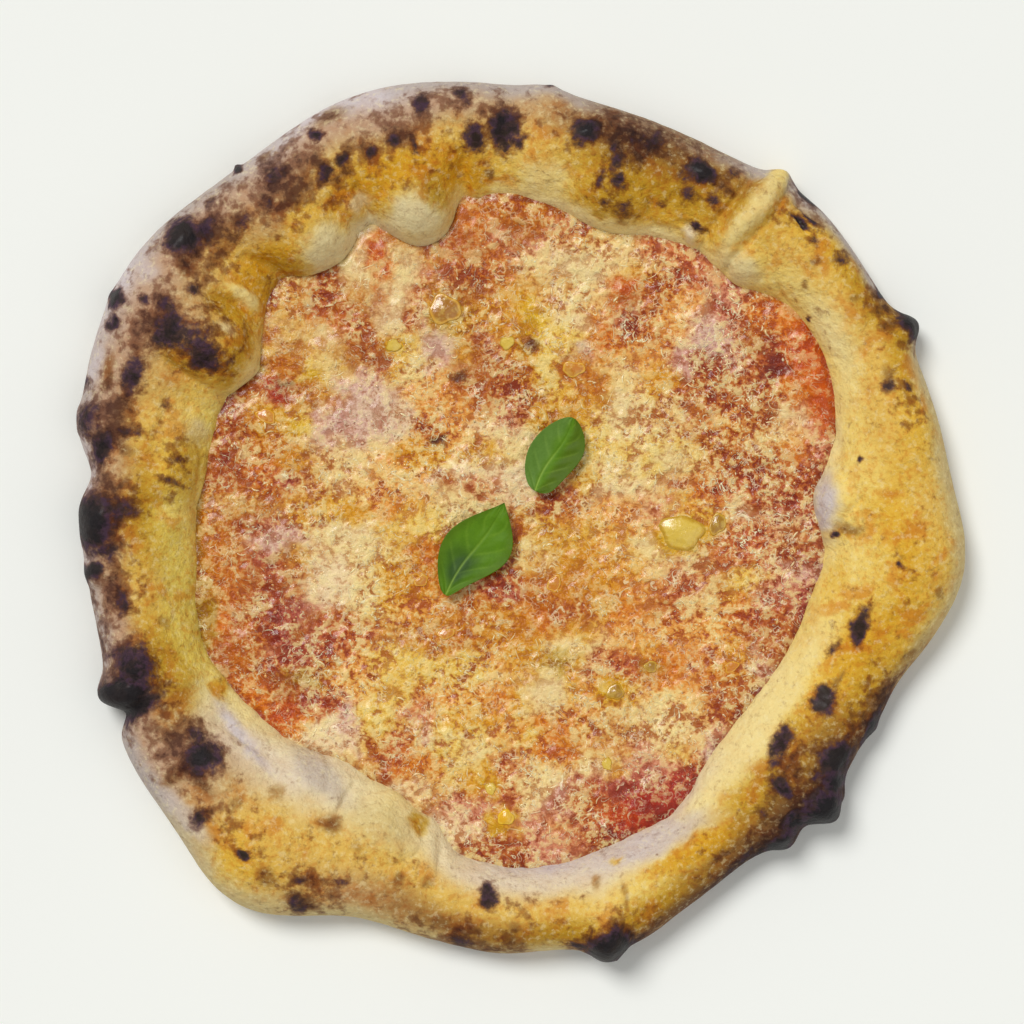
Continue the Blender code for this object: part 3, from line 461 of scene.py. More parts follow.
# Smooth domes of melted cheese and pools: (x, y, length, width, turn, height)
MELTED_DOMES = (
    (-85, 72, 14, 22, -15, 1.4), (-70, 60, 28, 11, 8, 1.2), (-57, 86, 12, 22, 12, 1.6),
    (-43, 86, 10, 30, 20, 1.4), (-46, 72, 10, 14, 0, 1.2), (-27.5, 76, 18, 17, 0, 1.8),
    (-92, 38, 22, 12, -20, 1.2), (-59, 37, 30, 16, 8, 1.4), (-4, 70, 16, 20, 20, 1.6),
    (12, 64, 18, 20, 0, 1.4), (17, 94, 34, 12, -6, 1.1), (100, 52, 12, 18, -30, 1.6),
    (108, 42, 10, 24, 20, 1.6), (103, 64, 9, 14, 10, 1.3), (65, 68, 16, 16, 0, 1.1),
    (48, 21, 30, 14, 5, 1.4), (58, -4, 19, 15, -10, 2.4), (-45, -53, 24, 16, 12, 1.2),
    (-25, -80, 28, 18, -8, 1.4), (-52, -73, 11, 17, 0, 1.2), (-110, -12, 11, 28, 4, 1.0),
    (-100, -42, 9, 20, 12, 0.9), (46, -103, 17, 12, 30, 1.6), (-5.5, -107.5, 7, 6.5, 0, 1.5),
    (34, -62, 8, 7, 0, 1.2), (20, 55, 12, 8, 0, 0.9), (5, -62, 20, 12, 10, 1.0),
    (76, -53, 14, 10, 30, 1.1), (-18, 17, 28, 11, 10, 1.1), (-90, -9, 20, 10, 0, 1.2),
    (-86, 46, 10, 7, 0, -1.3), (92, 56, 9, 9, 0, -1.2), (14, -108, 12, 16, 0, 1.0),
    (105, -17, 8, 10, 0, 1.0), (-60, -8, 24, 12, 0, 0.9), (57, -78, 18, 12, 28, 0.9),
    (-88, -38, 16, 16, 0, 0.9), (36, 82, 12, 10, 0, 0.9), (-20, 106, 12, 14, 0, 1.2),
    (0, 111, 22, 8, -6, 1.0),
)

# Pools of oil: (x, y, length, width, turn, rise, tone)
POOLS = (
    (58.0, -4.5, 17.0, 13.5, -8.0, 0.8, "clear"), (71.0, -1.5, 6.0, 9.0, -25.0, 0.6, "olive"),
    (-27.5, 76.0, 12.5, 11.5, 0.0, 0.5, "brown"), (-5.5, -107.4, 6.5, 6.0, 0.0, 0.9, "yolk"),
    (34.0, -62.0, 7.0, 6.2, 10.0, 0.8, "olive"), (46.8, -53.0, 5.0, 4.6, 0.0, 0.6, "olive"),
    (-11.0, -97.0, 4.2, 5.0, 0.0, 0.5, "clear"), (19.0, 54.5, 9.0, 6.0, 0.0, 0.5, "amber"),
    (-5.0, 64.0, 6.0, 5.0, 30.0, 0.5, "clear"), (-46.0, 63.0, 6.0, 5.0, 0.0, 0.5, "clear"),
    (-92.0, 37.5, 8.0, 5.5, -20.0, 0.5, "amber"), (31.0, -88.0, 4.0, 5.0, 0.0, 0.4, "clear"),
    (-36.0, -22.0, 6.0, 4.0, 30.0, 0.4, "amber"), (-27.0, -41.0, 7.0, 4.0, 10.0, 0.4, "amber"),
    (12.0, -23.0, 7.0, 5.0, 60.0, 0.4, "amber"), (76.0, -53.0, 6.0, 4.0, 30.0, 0.4, "amber"),
)

# Tones of the pools: inside, raised bead, outer line
POOL_TONES = {
    "clear": ((226, 190, 70), (200, 152, 20), (132, 90, 4)),
    "brown": ((172, 112, 22), (226, 168, 50), (120, 66, 8)),
    "yolk": ((236, 176, 0), (248, 206, 40), (206, 136, 0)),
    "olive": ((168, 118, 6), (214, 164, 30), (120, 76, 4)),
    "amber": ((206, 124, 4), (236, 176, 44), (164, 82, 4)),
}

# Where the grated shreds gather: (x, y, spread, count)
SHRED_CLUSTERS = (
    (-28, 72, 11, 26), (-10, 84, 12, 22), (15, 72, 12, 26), (45, 96, 12, 18), (60, 95, 12, 18),
    (20, 84, 12, 16), (72, 60, 14, 26), (66, 42, 14, 26), (88, 40, 14, 24), (30, 48, 14, 22),
    (58, 52, 12, 16), (80, 76, 10, 14), (-72, 52, 9, 16), (-82, 76, 6, 10), (-58, 92, 8, 12),
    (-88, 34, 10, 14), (-102, 20, 10, 14), (-98, 4, 12, 16), (-48, -22, 14, 26), (-24, -38, 14, 22),
    (-3, -38, 10, 16), (22, -18, 14, 26), (62, -4, 8, 8), (96, -14, 10, 14), (90, -44, 10, 18),
    (78, -62, 10, 16), (66, -76, 10, 12), (-72, -72, 10, 18), (-40, -92, 14, 22), (-12, -96, 9, 14),
    (6, -98, 9, 14), (22, -106, 10, 14), (-2, -112, 12, 10), (-20, -66, 12, 14), (34, -60, 8, 10),
    (8, -54, 10, 14), (76, -52, 9, 12), (40, -90, 12, 12), (-16, 24, 12, 14), (-34, 52, 12, 14),
    (-78, -50, 12, 14), (-92, -40, 10, 10), (0, 0, 90, 90), (92, 22, 16, 22), (-104, -12, 6, 8),
    (-60, -62, 10, 12),
)

# Basil leaves: name, stem, tip, bluntness at the stem and at the tip, lift of the left and right edge, and
# the half widths along the midrib, as (share of the length, left, right)
BASIL = (
    (
        "upper", (5.0, 10.5), (19.0, 36.6), (0.45, 0.42), (0.8, 1.6),
        (
            (0.10, 4.8, 6.0), (0.20, 6.6, 7.4), (0.33, 8.0, 8.4), (0.58, 9.2, 8.7), (0.80, 7.3, 7.2),
            (0.90, 4.9, 4.8),
        ),
    ),
    (
        "lower", (-27.2, -27.0), (-6.0, 6.2), (0.42, 0.85), (1.2, 1.2),
        (
            (0.08, 4.6, 3.2), (0.24, 8.3, 7.0), (0.40, 11.0, 10.6), (0.58, 10.9, 11.6), (0.69, 9.0, 10.7),
            (0.81, 6.0, 7.2), (0.92, 2.6, 3.4),
        ),
    ),
)
# Leaf tones; the bluish one is a painted sheen, a painted highlight on the upper leaf's left half.
LEAF_TONES = {
    "green": (92, 134, 10), "painted_sheen": (100, 134, 62), "deep": (80, 104, 0), "pale": (158, 186, 84),
    "dark": (54, 84, 34),
}
LEAF_REST = 10.9


# ---------------------------------------------------------------------------------------- number tools

def smooth(low, high, value):
    """Ramp from 0 at low to 1 at high, level at both ends: 3t^2 - 2t^3."""
    t = np.clip((value - low) / (high - low), 0.0, 1.0)
    return t * t * (3.0 - 2.0 * t)


def linear(colours):
    """sRGB from 0 to 1 turned into the renderer's linear light."""
    colours = np.clip(colours, 0.0, 1.0)
    return np.where(colours <= 0.04045, colours / 12.92, ((colours + 0.055) / 1.055) ** 2.4)


def hashed(ix, iy, iz, seed):
    """A repeatable number from 0 to 1 for each lattice corner, from whole-number products and shifts."""
    ix, iy, iz = (np.asarray(part).astype(np.int64) for part in (ix, iy, iz))
    key = (ix * 374761393 + iy * 668265263 + iz * 1440662683 + seed * 1013904223) & 0xFFFFFFFF
    key = ((key ^ (key >> 13)) * 1274126177) & 0xFFFFFFFF
    key = ((key ^ (key >> 16)) * 1103515245) & 0xFFFFFFFF
    return ((key ^ (key >> 15)) & 0xFFFFFF) / 16777216.0


def lattice_noise(x, y, z, seed):
    """Numbers at the corners of a unit lattice, blended smoothly in between; -1 to 1."""
    corner = [np.floor(part) for part in (x, y, z)]
    share = [part - low for part, low in zip((x, y, z), corner)]
    share = [part * part * part * (part * (part * 6.0 - 15.0) + 10.0) for part in share]
    total = 0.0
    for dx in (0, 1):
        for dy in (0, 1):
            for dz in (0, 1):
                weight = (share[0] if dx else 1.0 - share[0]) * (share[1] if dy else 1.0 - share[1])
                weight = weight * (share[2] if dz else 1.0 - share[2])
                total = total + weight * hashed(corner[0] + dx, corner[1] + dy, corner[2] + dz, seed)
    return total * 2.0 - 1.0


def noise(points, size, seed, octaves=3, gain=0.5):
    """Lattice noise summed over octaves, each half the size and a share of the strength of the one before."""
    total = 0.0
    strength = 1.0
    whole = 0.0
    turn = np.array(((0.80, 0.60, 0.0), (-0.60, 0.80, 0.0), (0.0, 0.0, 1.0)))
    at = points / size
    for octave in range(octaves):
        total = total + strength * lattice_noise(at[:, 0], at[:, 1], at[:, 2], seed + 17 * octave)
        whole += strength
        strength *= gain
        at = at @ turn * 2.03 + 7.1
    return total / whole


def cells(x, y, size, seed, jitter=0.9):
    """Distance to the nearest of scattered seeds, in cell widths, and a number of its own for that seed."""
    gx = np.floor(x / size)
    gy = np.floor(y / size)
    nearest = np.full(x.shape, 9.0)
    token = np.zeros(x.shape)
    for dx in (-1, 0, 1):
        for dy in (-1, 0, 1):
            px = gx + dx + 0.5 + jitter * (hashed(gx + dx, gy + dy, 0, seed) - 0.5)
            py = gy + dy + 0.5 + jitter * (hashed(gx + dx, gy + dy, 1, seed) - 0.5)
            distance = np.hypot(x / size - px, y / size - py)
            nearer = distance < nearest
            token = np.where(nearer, hashed(gx + dx, gy + dy, 2, seed), token)
            nearest = np.where(nearer, distance, nearest)
    return nearest, token


def swelling(angles, swells):
    """Sum of bell-shaped swells around the circle."""
    total = np.zeros_like(angles)
    for centre, half_width, height in swells:
        offset = (angles - centre + 180.0) % 360.0 - 180.0
        total += height * np.exp(-((offset / half_width) ** 2))
    return total


def outer_edge(angles):
    """Radius of the dough's outer edge at each angle."""
    return OUTER_RADIUS + swelling(angles, OUTER_SWELLS)


def inner_edge(angles):
    """Radius where the rim meets the topping at each angle."""
    return INNER_RADIUS + swelling(angles, INNER_LOBES)


def rim_place(angle, radius):
    """x and y in millimetres of a place on the rim."""
    return radius * np.cos(np.radians(angle)), radius * np.sin(np.radians(angle))


def rim_offsets(x, y, angle, radius):
    """Distances from a place on the rim, along the rim and across it."""
    cx, cy = rim_place(angle, radius)
    turn = np.radians(angle)
    along = -(x - cx) * np.sin(turn) + (y - cy) * np.cos(turn)
    across = (x - cx) * np.cos(turn) + (y - cy) * np.sin(turn)
    return along, across


def middle_shift():
    """How far the dough's box was slid to be centred, found from the outline's own extent."""
    angles = np.arange(160) * 2.25
    inner = inner_edge(angles)
    width = outer_edge(angles) - inner
    edge = inner + 0.52 * width + 0.48 * width * np.cos(np.radians(12.0)) ** 0.8
    x = edge * np.cos(np.radians(angles))
    y = edge * np.sin(np.radians(angles))
    return -(x.max() + x.min()) / 2.0, -(y.max() + y.min()) / 2.0


SHIFT = middle_shift()


# ------------------------------------------------------------------------------------------ mesh tools

def add_mesh(name, points, faces, attributes, node_material):
    """One mesh object from points in millimetres, with attributes of a colour or a number at each point."""
    points = np.asarray(points, float) * MM
    points[:, 0] += SHIFT[0] * MM
    points[:, 1] += SHIFT[1] * MM
    faces = np.asarray(faces, np.int32)
    mesh = bpy.data.meshes.new(name)
    mesh.vertices.add(len(points))
    mesh.vertices.foreach_set("co", points.astype(np.float32).ravel())
    corners = faces.shape[1]
    mesh.loops.add(faces.size)
    mesh.loops.foreach_set("vertex_index", faces.ravel())
    mesh.polygons.add(len(faces))
    mesh.polygons.foreach_set("loop_start", np.arange(len(faces), dtype=np.int32) * corners)
    mesh.update(calc_edges=True)
    mesh.polygons.foreach_set("use_smooth", np.ones(len(faces), bool))
    for key, values in attributes.items():
        values = np.asarray(values, np.float32)
        if values.ndim == 2:
            layer = mesh.color_attributes.new(key, "FLOAT_COLOR", "POINT")
            opaque = np.ones(len(values), np.float32)
            layer.data.foreach_set("color", np.column_stack((values, opaque)).ravel())
        else:
            layer = mesh.attributes.new(key, "FLOAT", "POINT")
            layer.data.foreach_set("value", values)
    mesh.validate()
    mesh.materials.append(node_material)
    made = bpy.data.objects.new(name, mesh)
    bpy.context.scene.collection.objects.link(made)
    return made


def ring_faces(rows, around):
    """Quads between closed rings of points laid row after row."""
    row, step = np.meshgrid(np.arange(rows - 1), np.arange(around), indexing="ij")
    following = (step + 1) % around
    a = (row * around + step).ravel()
    b = (row * around + following).ravel()
    return np.column_stack((a, b, b + around, a + around))


def sheet_faces(rows, columns):
    """Quads of an open grid of points laid row after row."""
    row, column = np.meshgrid(np.arange(rows - 1), np.arange(columns - 1), indexing="ij")
    a = (row * columns + column).ravel()
    return np.column_stack((a, a + 1, a + columns + 1, a + columns))


def sheet_border(rows, columns):
    """The outermost points of an open grid, once round."""
    return np.concatenate((np.arange(columns), np.arange(1, rows) * columns + columns - 1,
                           (rows - 1) * columns + np.arange(columns - 2, -1, -1),
                           np.arange(rows - 2, 0, -1) * columns))


def facing_up(points, faces):
    """The faces turned so that most of them face upwards."""
    p = points[faces[:, 0]], points[faces[:, 1]], points[faces[:, 2]]
    rise = np.cross(p[1] - p[0], p[2] - p[0])[:, 2].sum()
    return faces if rise > 0 else faces[:, ::-1]


# ------------------------------------------------------------------------------------------- materials

class NodeTree:
    """Short words for laying out a material's nodes. Noise and spots are sized in repeats per mm."""

    def __init__(self, name):
        self.material = bpy.data.materials.new(name)
        self.material.use_nodes = True
        self.tree = self.material.node_tree
        self.shader = self.tree.nodes["Principled BSDF"]
        self.place = self.add("ShaderNodeTexCoord").outputs["Object"]

    def add(self, kind, **settings):
        node = self.tree.nodes.new(kind)
        for key, value in settings.items():
            setattr(node, key, value)
        return node

    def link(self, source, target):
        self.tree.links.new(source, target)

    def number(self, name):
        """A number kept at each point of the mesh."""
        return self.add("ShaderNodeAttribute", attribute_name=name).outputs["Fac"]

    def colour(self, name):
        """A colour kept at each point of the mesh."""
        return self.add("ShaderNodeAttribute", attribute_name=name).outputs["Color"]

    def noise(self, per_mm, detail=3.0, rough=0.55, warp=0.0):
        """Cloudy noise round 0.5."""
        node = self.add("ShaderNodeTexNoise")
        node.inputs["Scale"].default_value = per_mm / MM
        node.inputs["Detail"].default_value = detail
        node.inputs["Roughness"].default_value = rough
        node.inputs["Distortion"].default_value = warp
        self.link(self.place, node.inputs["Vector"])
        return node.outputs["Fac"]

    def spots(self, per_mm, push_mm):
        """Distance to the nearest of scattered seeds, read at places that finer noise pushes about."""
        push = self.add("ShaderNodeTexNoise")
        push.inputs["Scale"].default_value = 1.5 * per_mm / MM
        push.inputs["Detail"].default_value = 2.0
        self.link(self.place, push.inputs["Vector"])
        moved = self.add("ShaderNodeVectorMath", operation="MULTIPLY_ADD")
        moved.inputs[1].default_value = (push_mm * MM,) * 3
        self.link(push.outputs["Color"], moved.inputs[0])
        self.link(self.place, moved.inputs[2])
        node = self.add("ShaderNodeTexVoronoi", feature="F1")
        node.inputs["Scale"].default_value = per_mm / MM
        self.link(moved.outputs["Vector"], node.inputs["Vector"])
        return node.outputs["Distance"]

    def ramp(self, source, low, high, start=0.0, end=1.0):
        """A smooth step from start to end while the source goes from low to high."""
        node = self.add("ShaderNodeMapRange", interpolation_type="SMOOTHSTEP")
        for key, value in (("From Min", low), ("From Max", high), ("To Min", start), ("To Max", end)):
            node.inputs[key].default_value = value
        self.link(source, node.inputs["Value"])
        return node.outputs["Result"]

    def reckon(self, operation, *values):
        node = self.add("ShaderNodeMath", operation=operation)
        for socket, value in zip(node.inputs, values):
            if isinstance(value, (int, float)):
                socket.default_value = value
            else:
                self.link(value, socket)
        return node.outputs[0]

    def times(self, first, *others):
        for other in others:
            first = self.reckon("MULTIPLY", first, other)
        return first

    def plus(self, first, *others):
        for other in others:
            first = self.reckon("ADD", first, other)
        return first

    def minus(self, first, second):
        return self.reckon("SUBTRACT", first, second)

    def mix(self, amount, first, second, blend="MIX"):
        """Blend two colours. A tuple is a colour in sRGB from 0 to 255."""
        node = self.add("ShaderNodeMix", data_type="RGBA", blend_type=blend)
        for socket, value in ((node.inputs[0], amount), (node.inputs[6], first), (node.inputs[7], second)):
            if isinstance(value, (int, float)):
                socket.default_value = value
            elif isinstance(value, tuple):
                socket.default_value = (*linear(np.array(value) / 255.0), 1.0)
            else:
                self.link(value, socket)
        return node.outputs[2]

    def bump(self, height, distance_mm, strength=1.0, under=None):
        """A shading normal from a height, laid over another normal if one is given."""
        node = self.add("ShaderNodeBump")
        node.inputs["Strength"].default_value = strength
        node.inputs["Distance"].default_value = distance_mm * MM
        self.link(height, node.inputs["Height"])
        if under is not None:
            self.link(under, node.inputs["Normal"])
        return node.outputs["Normal"]

    def finish(self, **values):
        """Set or link sockets of the shader, named with _ for a space, and give back the material."""
        for key, value in values.items():
            socket = self.shader.inputs[key.replace("_", " ")]
            if isinstance(value, (int, float)):
                socket.default_value = value
            elif isinstance(value, tuple):
                socket.default_value = (*linear(np.array(value) / 255.0), 1.0)
            else:
                self.link(value, socket)
        return self.material


def crust_finish():
    """Baked dough: clouded golden skin, toasted blotches over it, and ragged char."""
    tree = NodeTree("baked_crust")
    bake = tree.colour("bake")
    wet = tree.number("wet")

    # skin: golden clouds, pale flecks and fine dark grit
    mottle = tree.number("mottle")
    broad = tree.noise(0.10, 5.0, 0.62, 0.3)
    fine = tree.noise(0.46, 4.0, 0.62, 0.15)
    grit = tree.noise(1.2, 3.0, 0.60)
    golden = tree.mix(0.85, bake, (228, 164, 56), "MULTIPLY")
    colour = tree.mix(tree.times(tree.ramp(broad, 0.48, 0.64), mottle, 0.75), bake, golden)
    colour = tree.mix(tree.times(tree.ramp(fine, 0.52, 0.66), mottle, 0.50), colour, golden)
    colour = tree.mix(tree.times(tree.ramp(fine, 0.48, 0.34), 0.28), colour, (255, 240, 184))
    colour = tree.mix(tree.times(tree.ramp(grit, 0.55, 0.72), 0.12), colour, (176, 124, 56), "MULTIPLY")

    # toast: brown blotches with darker middles
    toasted = tree.plus(tree.noise(0.19, 5.0, 0.60, 0.15), tree.times(tree.number("toast"), 0.38))
    browned = tree.times(tree.ramp(toasted, 0.62, 0.78), 0.85)
    darkened = tree.times(tree.ramp(toasted, 0.77, 0.92), 0.80)
    colour = tree.mix(browned, colour, (170, 136, 118), "MULTIPLY")
    colour = tree.mix(darkened, colour, (132, 100, 104), "MULTIPLY")

    # char: a brown halo, then brown to violet burn, black in the middle
    unevenness = tree.times(tree.minus(tree.noise(0.42, 4.0, 0.62, 0.3), 0.5), 1.1)
    ragged = tree.plus(tree.number("char"), unevenness)
    halo = tree.times(tree.ramp(ragged, 0.02, 0.40), 0.75)
    burn = tree.mix(tree.ramp(tree.noise(0.3, 3.0), 0.42, 0.58), (58, 38, 36), (66, 42, 60))
    burn = tree.mix(tree.ramp(ragged, 0.62, 1.0), burn, (14, 10, 15))
    colour = tree.mix(halo, colour, (156, 118, 106), "MULTIPLY")
    colour = tree.mix(tree.ramp(ragged, 0.28, 0.68, 0.0, 0.95), colour, burn)

    wrinkled = tree.bump(tree.noise(0.30, 6.0, 0.60, 0.25), 1.9, 0.6)
    return tree.finish(
        Base_Color=colour,
        Roughness=tree.minus(0.72, tree.times(wet, 0.36)),
        Normal=tree.bump(grit, 0.3, 0.4, wrinkled),
        Coat_Weight=tree.times(wet, 0.5),
        Coat_Roughness=0.22,
        Specular_IOR_Level=0.28,
    )


def topping_finish():
    """Melted sauce and cheese: pale curds over deeper gaps, small craters, thin strings, and fine pale dots
    that are painted pinpoint highlights as well as grains of hard cheese.
    """
    tree = NodeTree("melted_topping")
    tone = tree.colour("tone")
    grain = tree.number("grain")
    wet = tree.number("wet")
    calm = tree.ramp(tree.noise(0.06, 3.0, 0.55, 0.3), 0.42, 0.58, 1.0, 0.62)
    strong = tree.times(tree.plus(tree.times(grain, 0.70), 0.42), calm)

    # curds and gaps
    lumps = tree.times(tree.noise(0.15, 3.0, 0.50, 0.35), 0.42)
    fine = tree.times(tree.noise(0.40, 3.0, 0.55, 0.35), 0.42)
    tiny = tree.times(tree.noise(0.95, 2.0, 0.55), 0.16)
    pattern = tree.plus(lumps, fine, tiny)
    pale = tree.mix(0.58, tone, (255, 236, 160))
    deep = tree.mix(0.95, tone, (184, 112, 12), "MULTIPLY")
    colour = tree.mix(tree.times(tree.ramp(pattern, 0.50, 0.57), strong), tone, pale)
    colour = tree.mix(tree.times(tree.ramp(pattern, 0.505, 0.43), strong), colour, deep)

    # craters: a brown heart in a pale ring
    seeds = tree.spots(0.24, 7.0)
    gate = tree.times(tree.ramp(tree.noise(0.11, 3.0), 0.46, 0.54), grain)
    heart = tree.times(tree.ramp(seeds, 0.26, 0.12), gate)
    ring = tree.times(tree.ramp(seeds, 0.24, 0.30), tree.ramp(seeds, 0.42, 0.34), gate)
    colour = tree.mix(tree.times(heart, 0.80), colour, (142, 56, 12))
    colour = tree.mix(tree.times(ring, 0.50), colour, (255, 238, 196))

    # strings: thin lines where wandering noise passes its middle
    wander = tree.reckon("ABSOLUTE", tree.minus(tree.noise(0.13, 2.0, 0.5, 1.4), 0.5))
    string = tree.times(tree.ramp(wander, 0.014, 0.004), strong, tree.ramp(tree.noise(0.12, 2.0), 0.47, 0.56))
    colour = tree.mix(tree.times(string, 0.90), colour, (255, 244, 196))

    # painted highlights: tiny pale dots for pinpoint glints on the wet cheese, also read as grains of hard
    # cheese
    painted_glints = tree.ramp(tree.spots(0.62, 2.5), 0.24, 0.12)
    painted_glints = tree.times(painted_glints, tree.ramp(tree.noise(0.2, 3.0, 0.6), 0.48, 0.56))
    colour = tree.mix(tree.times(painted_glints, strong, 0.95), colour, (255, 248, 206))

    relief = tree.times(tree.minus(pattern, 0.5), tree.plus(tree.times(calm, 0.7), 0.3))
    height = tree.plus(relief, tree.times(string, 0.06), tree.times(heart, -0.08), tree.times(painted_glints, 0.07))
    return tree.finish(
        Base_Color=colour,
        Roughness=tree.minus(0.42, tree.times(wet, 0.16)),
        Normal=tree.bump(height, 3.6, 0.8),
        Coat_Weight=tree.times(wet, 0.36),
        Coat_Roughness=0.16,
        Specular_IOR_Level=0.26,
    )


def shred_finish():
    """Grated hard cheese, half melted: the tone it lies on, paler."""
    tree = NodeTree("grated_shreds")
    amount = tree.ramp(tree.noise(0.3, 3.0), 0.35, 0.65, 0.45, 0.85)
    colour = tree.mix(amount, tree.colour("tone"), (255, 238, 180))
    return tree.finish(Base_Color=colour, Roughness=0.30, Coat_Weight=0.6, Coat_Roughness=0.12)


def drop_finish():
    """Beads of oil and whey: the tone below them, a little paler, shiny."""
    tree = NodeTree("oil_beads")
    amount = tree.ramp(tree.noise(0.3, 3.0), 0.4, 0.6, 0.1, 0.6)
    colour = tree.mix(amount, tree.colour("tone"), (250, 214, 140))
    return tree.finish(Base_Color=colour, Roughness=0.20, Coat_Weight=0.6, Coat_Roughness=0.08)


def pool_finish():
    """Standing oil: deep yellow, glossy, with a faint cloudiness."""
    tree = NodeTree("oil_pools")
    cloud = tree.ramp(tree.noise(0.35, 3.0, 0.6, 0.6), 0.46, 0.62)
    colour = tree.mix(tree.times(cloud, 0.30), tree.colour("tone"), (246, 216, 110))
    normal = tree.bump(tree.noise(0.28, 3.0, 0.55, 0.4), 1.0, 0.7)
    return tree.finish(Base_Color=colour, Roughness=0.28, Normal=normal, Coat_Weight=0.7, Coat_Roughness=0.12)


def leaf_finish():
    """Basil: satin green with paler veins and a painted bluish sheen, a painted highlight, on one side."""
    tree = NodeTree("basil_leaf")
    tone = tree.colour("tone")
    patch = tree.ramp(tree.noise(0.25, 4.0, 0.6), 0.35, 0.65)
    fine = tree.ramp(tree.noise(1.5, 3.0, 0.6), 0.35, 0.65)
    colour = tree.mix(tree.times(patch, 0.25), tone, (200, 214, 160), "MULTIPLY")
    colour = tree.mix(tree.times(fine, 0.18), colour, (190, 205, 150), "MULTIPLY")
    normal = tree.bump(tree.noise(0.5, 4.0, 0.6), 0.5, 0.4)
    return tree.finish(Base_Color=colour, Roughness=0.55, Normal=normal, Specular_IOR_Level=0.20)


def floor_finish(colour):
    """Matt pale table, with the slightest unevenness."""
    tree = NodeTree("pale_table")
    tint = tree.ramp(tree.noise(0.002, 2.0), 0.3, 0.7)
    low = tuple(255.0 * part - 2.0 for part in colour)
    high = tuple(255.0 * part for part in colour)
    return tree.finish(Base_Color=tree.mix(tint, low, high), Roughness=0.9)


# ----------------------------------------------------------------------------------------------- crust

AROUND = 1120
CROWN_ROW = 40
EDGE_ROOM = 0.05
BOTTOM_ROWS = (0.0, 0.45, 0.85)


def rim_surface(angles, crown_height):
    """Rings of the dough from the middle of the underside, out, over the crown and into the well.

    Each ring is a radius and a height for every angle. Over the top, offset runs from 1 at the outer
    edge to -1 at the inner one, and the height rises to the crown as (1 - |offset|^2.3)^0.55 on the
    outer side and as (1 - |offset|^1.9)^0.75 on the inner side.
    """
    inner = inner_edge(angles)
    outer = outer_edge(angles)
    width = outer - inner
    crown = crown_height + swelling(angles, CROWN_SWELLS)
    widest = 0.40 * crown
    half = 0.5 * width
    middle = inner + half
    peak = 0.06 * width
    rows = []
    foot = inner + 0.76 * width
    for share in BOTTOM_ROWS:
        rows.append((share * foot if share else 0.02 * foot, np.zeros_like(angles)))
    rows.append((foot, np.zeros_like(angles)))
    for turn in np.radians(np.linspace(-66.0, -6.0, 9)):
        rows.append((middle + half * np.cos(turn) ** 0.75, widest * (1.0 - abs(np.sin(turn)) ** 1.1)))
    for offset in np.cos(np.linspace(0.0, np.pi, 66)) * 0.999:
        lean = offset + 0.14 * (1.0 - offset * offset)
        radius = middle + half * lean
        low = widest if offset > 0 else SAUCE_TOP - 0.8
        power, root = (2.3, 0.55) if offset > 0 else (1.9, 0.75)
        height = low + (crown - low) * (1.0 - abs(offset) ** power) ** root
        rows.append((radius, height))
    for drop in (0.3, 0.6, 0.9):
        rows.append((inner + 0.2 * drop, (SAUCE_TOP - 0.8) * (1.0 - drop) + BASE_THICKNESS * drop))
    rows.append((inner + 0.5, np.full_like(angles, BASE_THICKNESS)))
    rows.append((inner * 0.5, np.full_like(angles, BASE_THICKNESS)))
    rows.append((inner * 0.02, np.full_like(angles, BASE_THICKNESS)))
    return rows


def dome(distance):
    """1 in the middle of a bubble, falling to 0 at distance 1 as 0.6 (1 - d^2)^0.5 + 0.4 (1 - d^2)^2."""
    level = np.clip(1.0 - distance ** 2, 0.0, 1.0)
    return np.sqrt(level) * 0.6 + 0.4 * level ** 2


def crust_relief(x, y, points):
    """Height added to the rim by bubbles, creases and the skin's own unevenness."""
    warp_x = x + 1.6 * noise(points, 9.0, 41, 2)
    warp_y = y + 1.6 * noise(points, 9.0, 42, 2)
    lift = np.zeros_like(x)
    for angle, radius, length, width, height in BUBBLES:
        along, across = rim_offsets(warp_x, warp_y, angle, radius)
        lift = lift + 1.1 * height * dome(np.hypot(along / length, across / width))
    for angle_a, radius_a, angle_b, radius_b, half_width, depth in CREASES:
        ax, ay = rim_place(angle_a, radius_a)
        bx, by = rim_place(angle_b, radius_b)
        length = np.hypot(bx - ax, by - ay)
        share = np.clip(((warp_x - ax) * (bx - ax) + (warp_y - ay) * (by - ay)) / length ** 2, 0.0, 1.0)
        away = np.hypot(warp_x - ax - share * (bx - ax), warp_y - ay - share * (by - ay))
        fade = 0.35 + 0.65 * np.sin(np.pi * np.clip(share, 0.08, 0.92))
        lift -= 1.35 * depth * np.exp(-((away / half_width) ** 2)) * fade
    lift += 0.9 * noise(points, 16.0, 3, 3) + 0.55 * noise(points, 5.0, 4, 4, 0.6)
    return lift


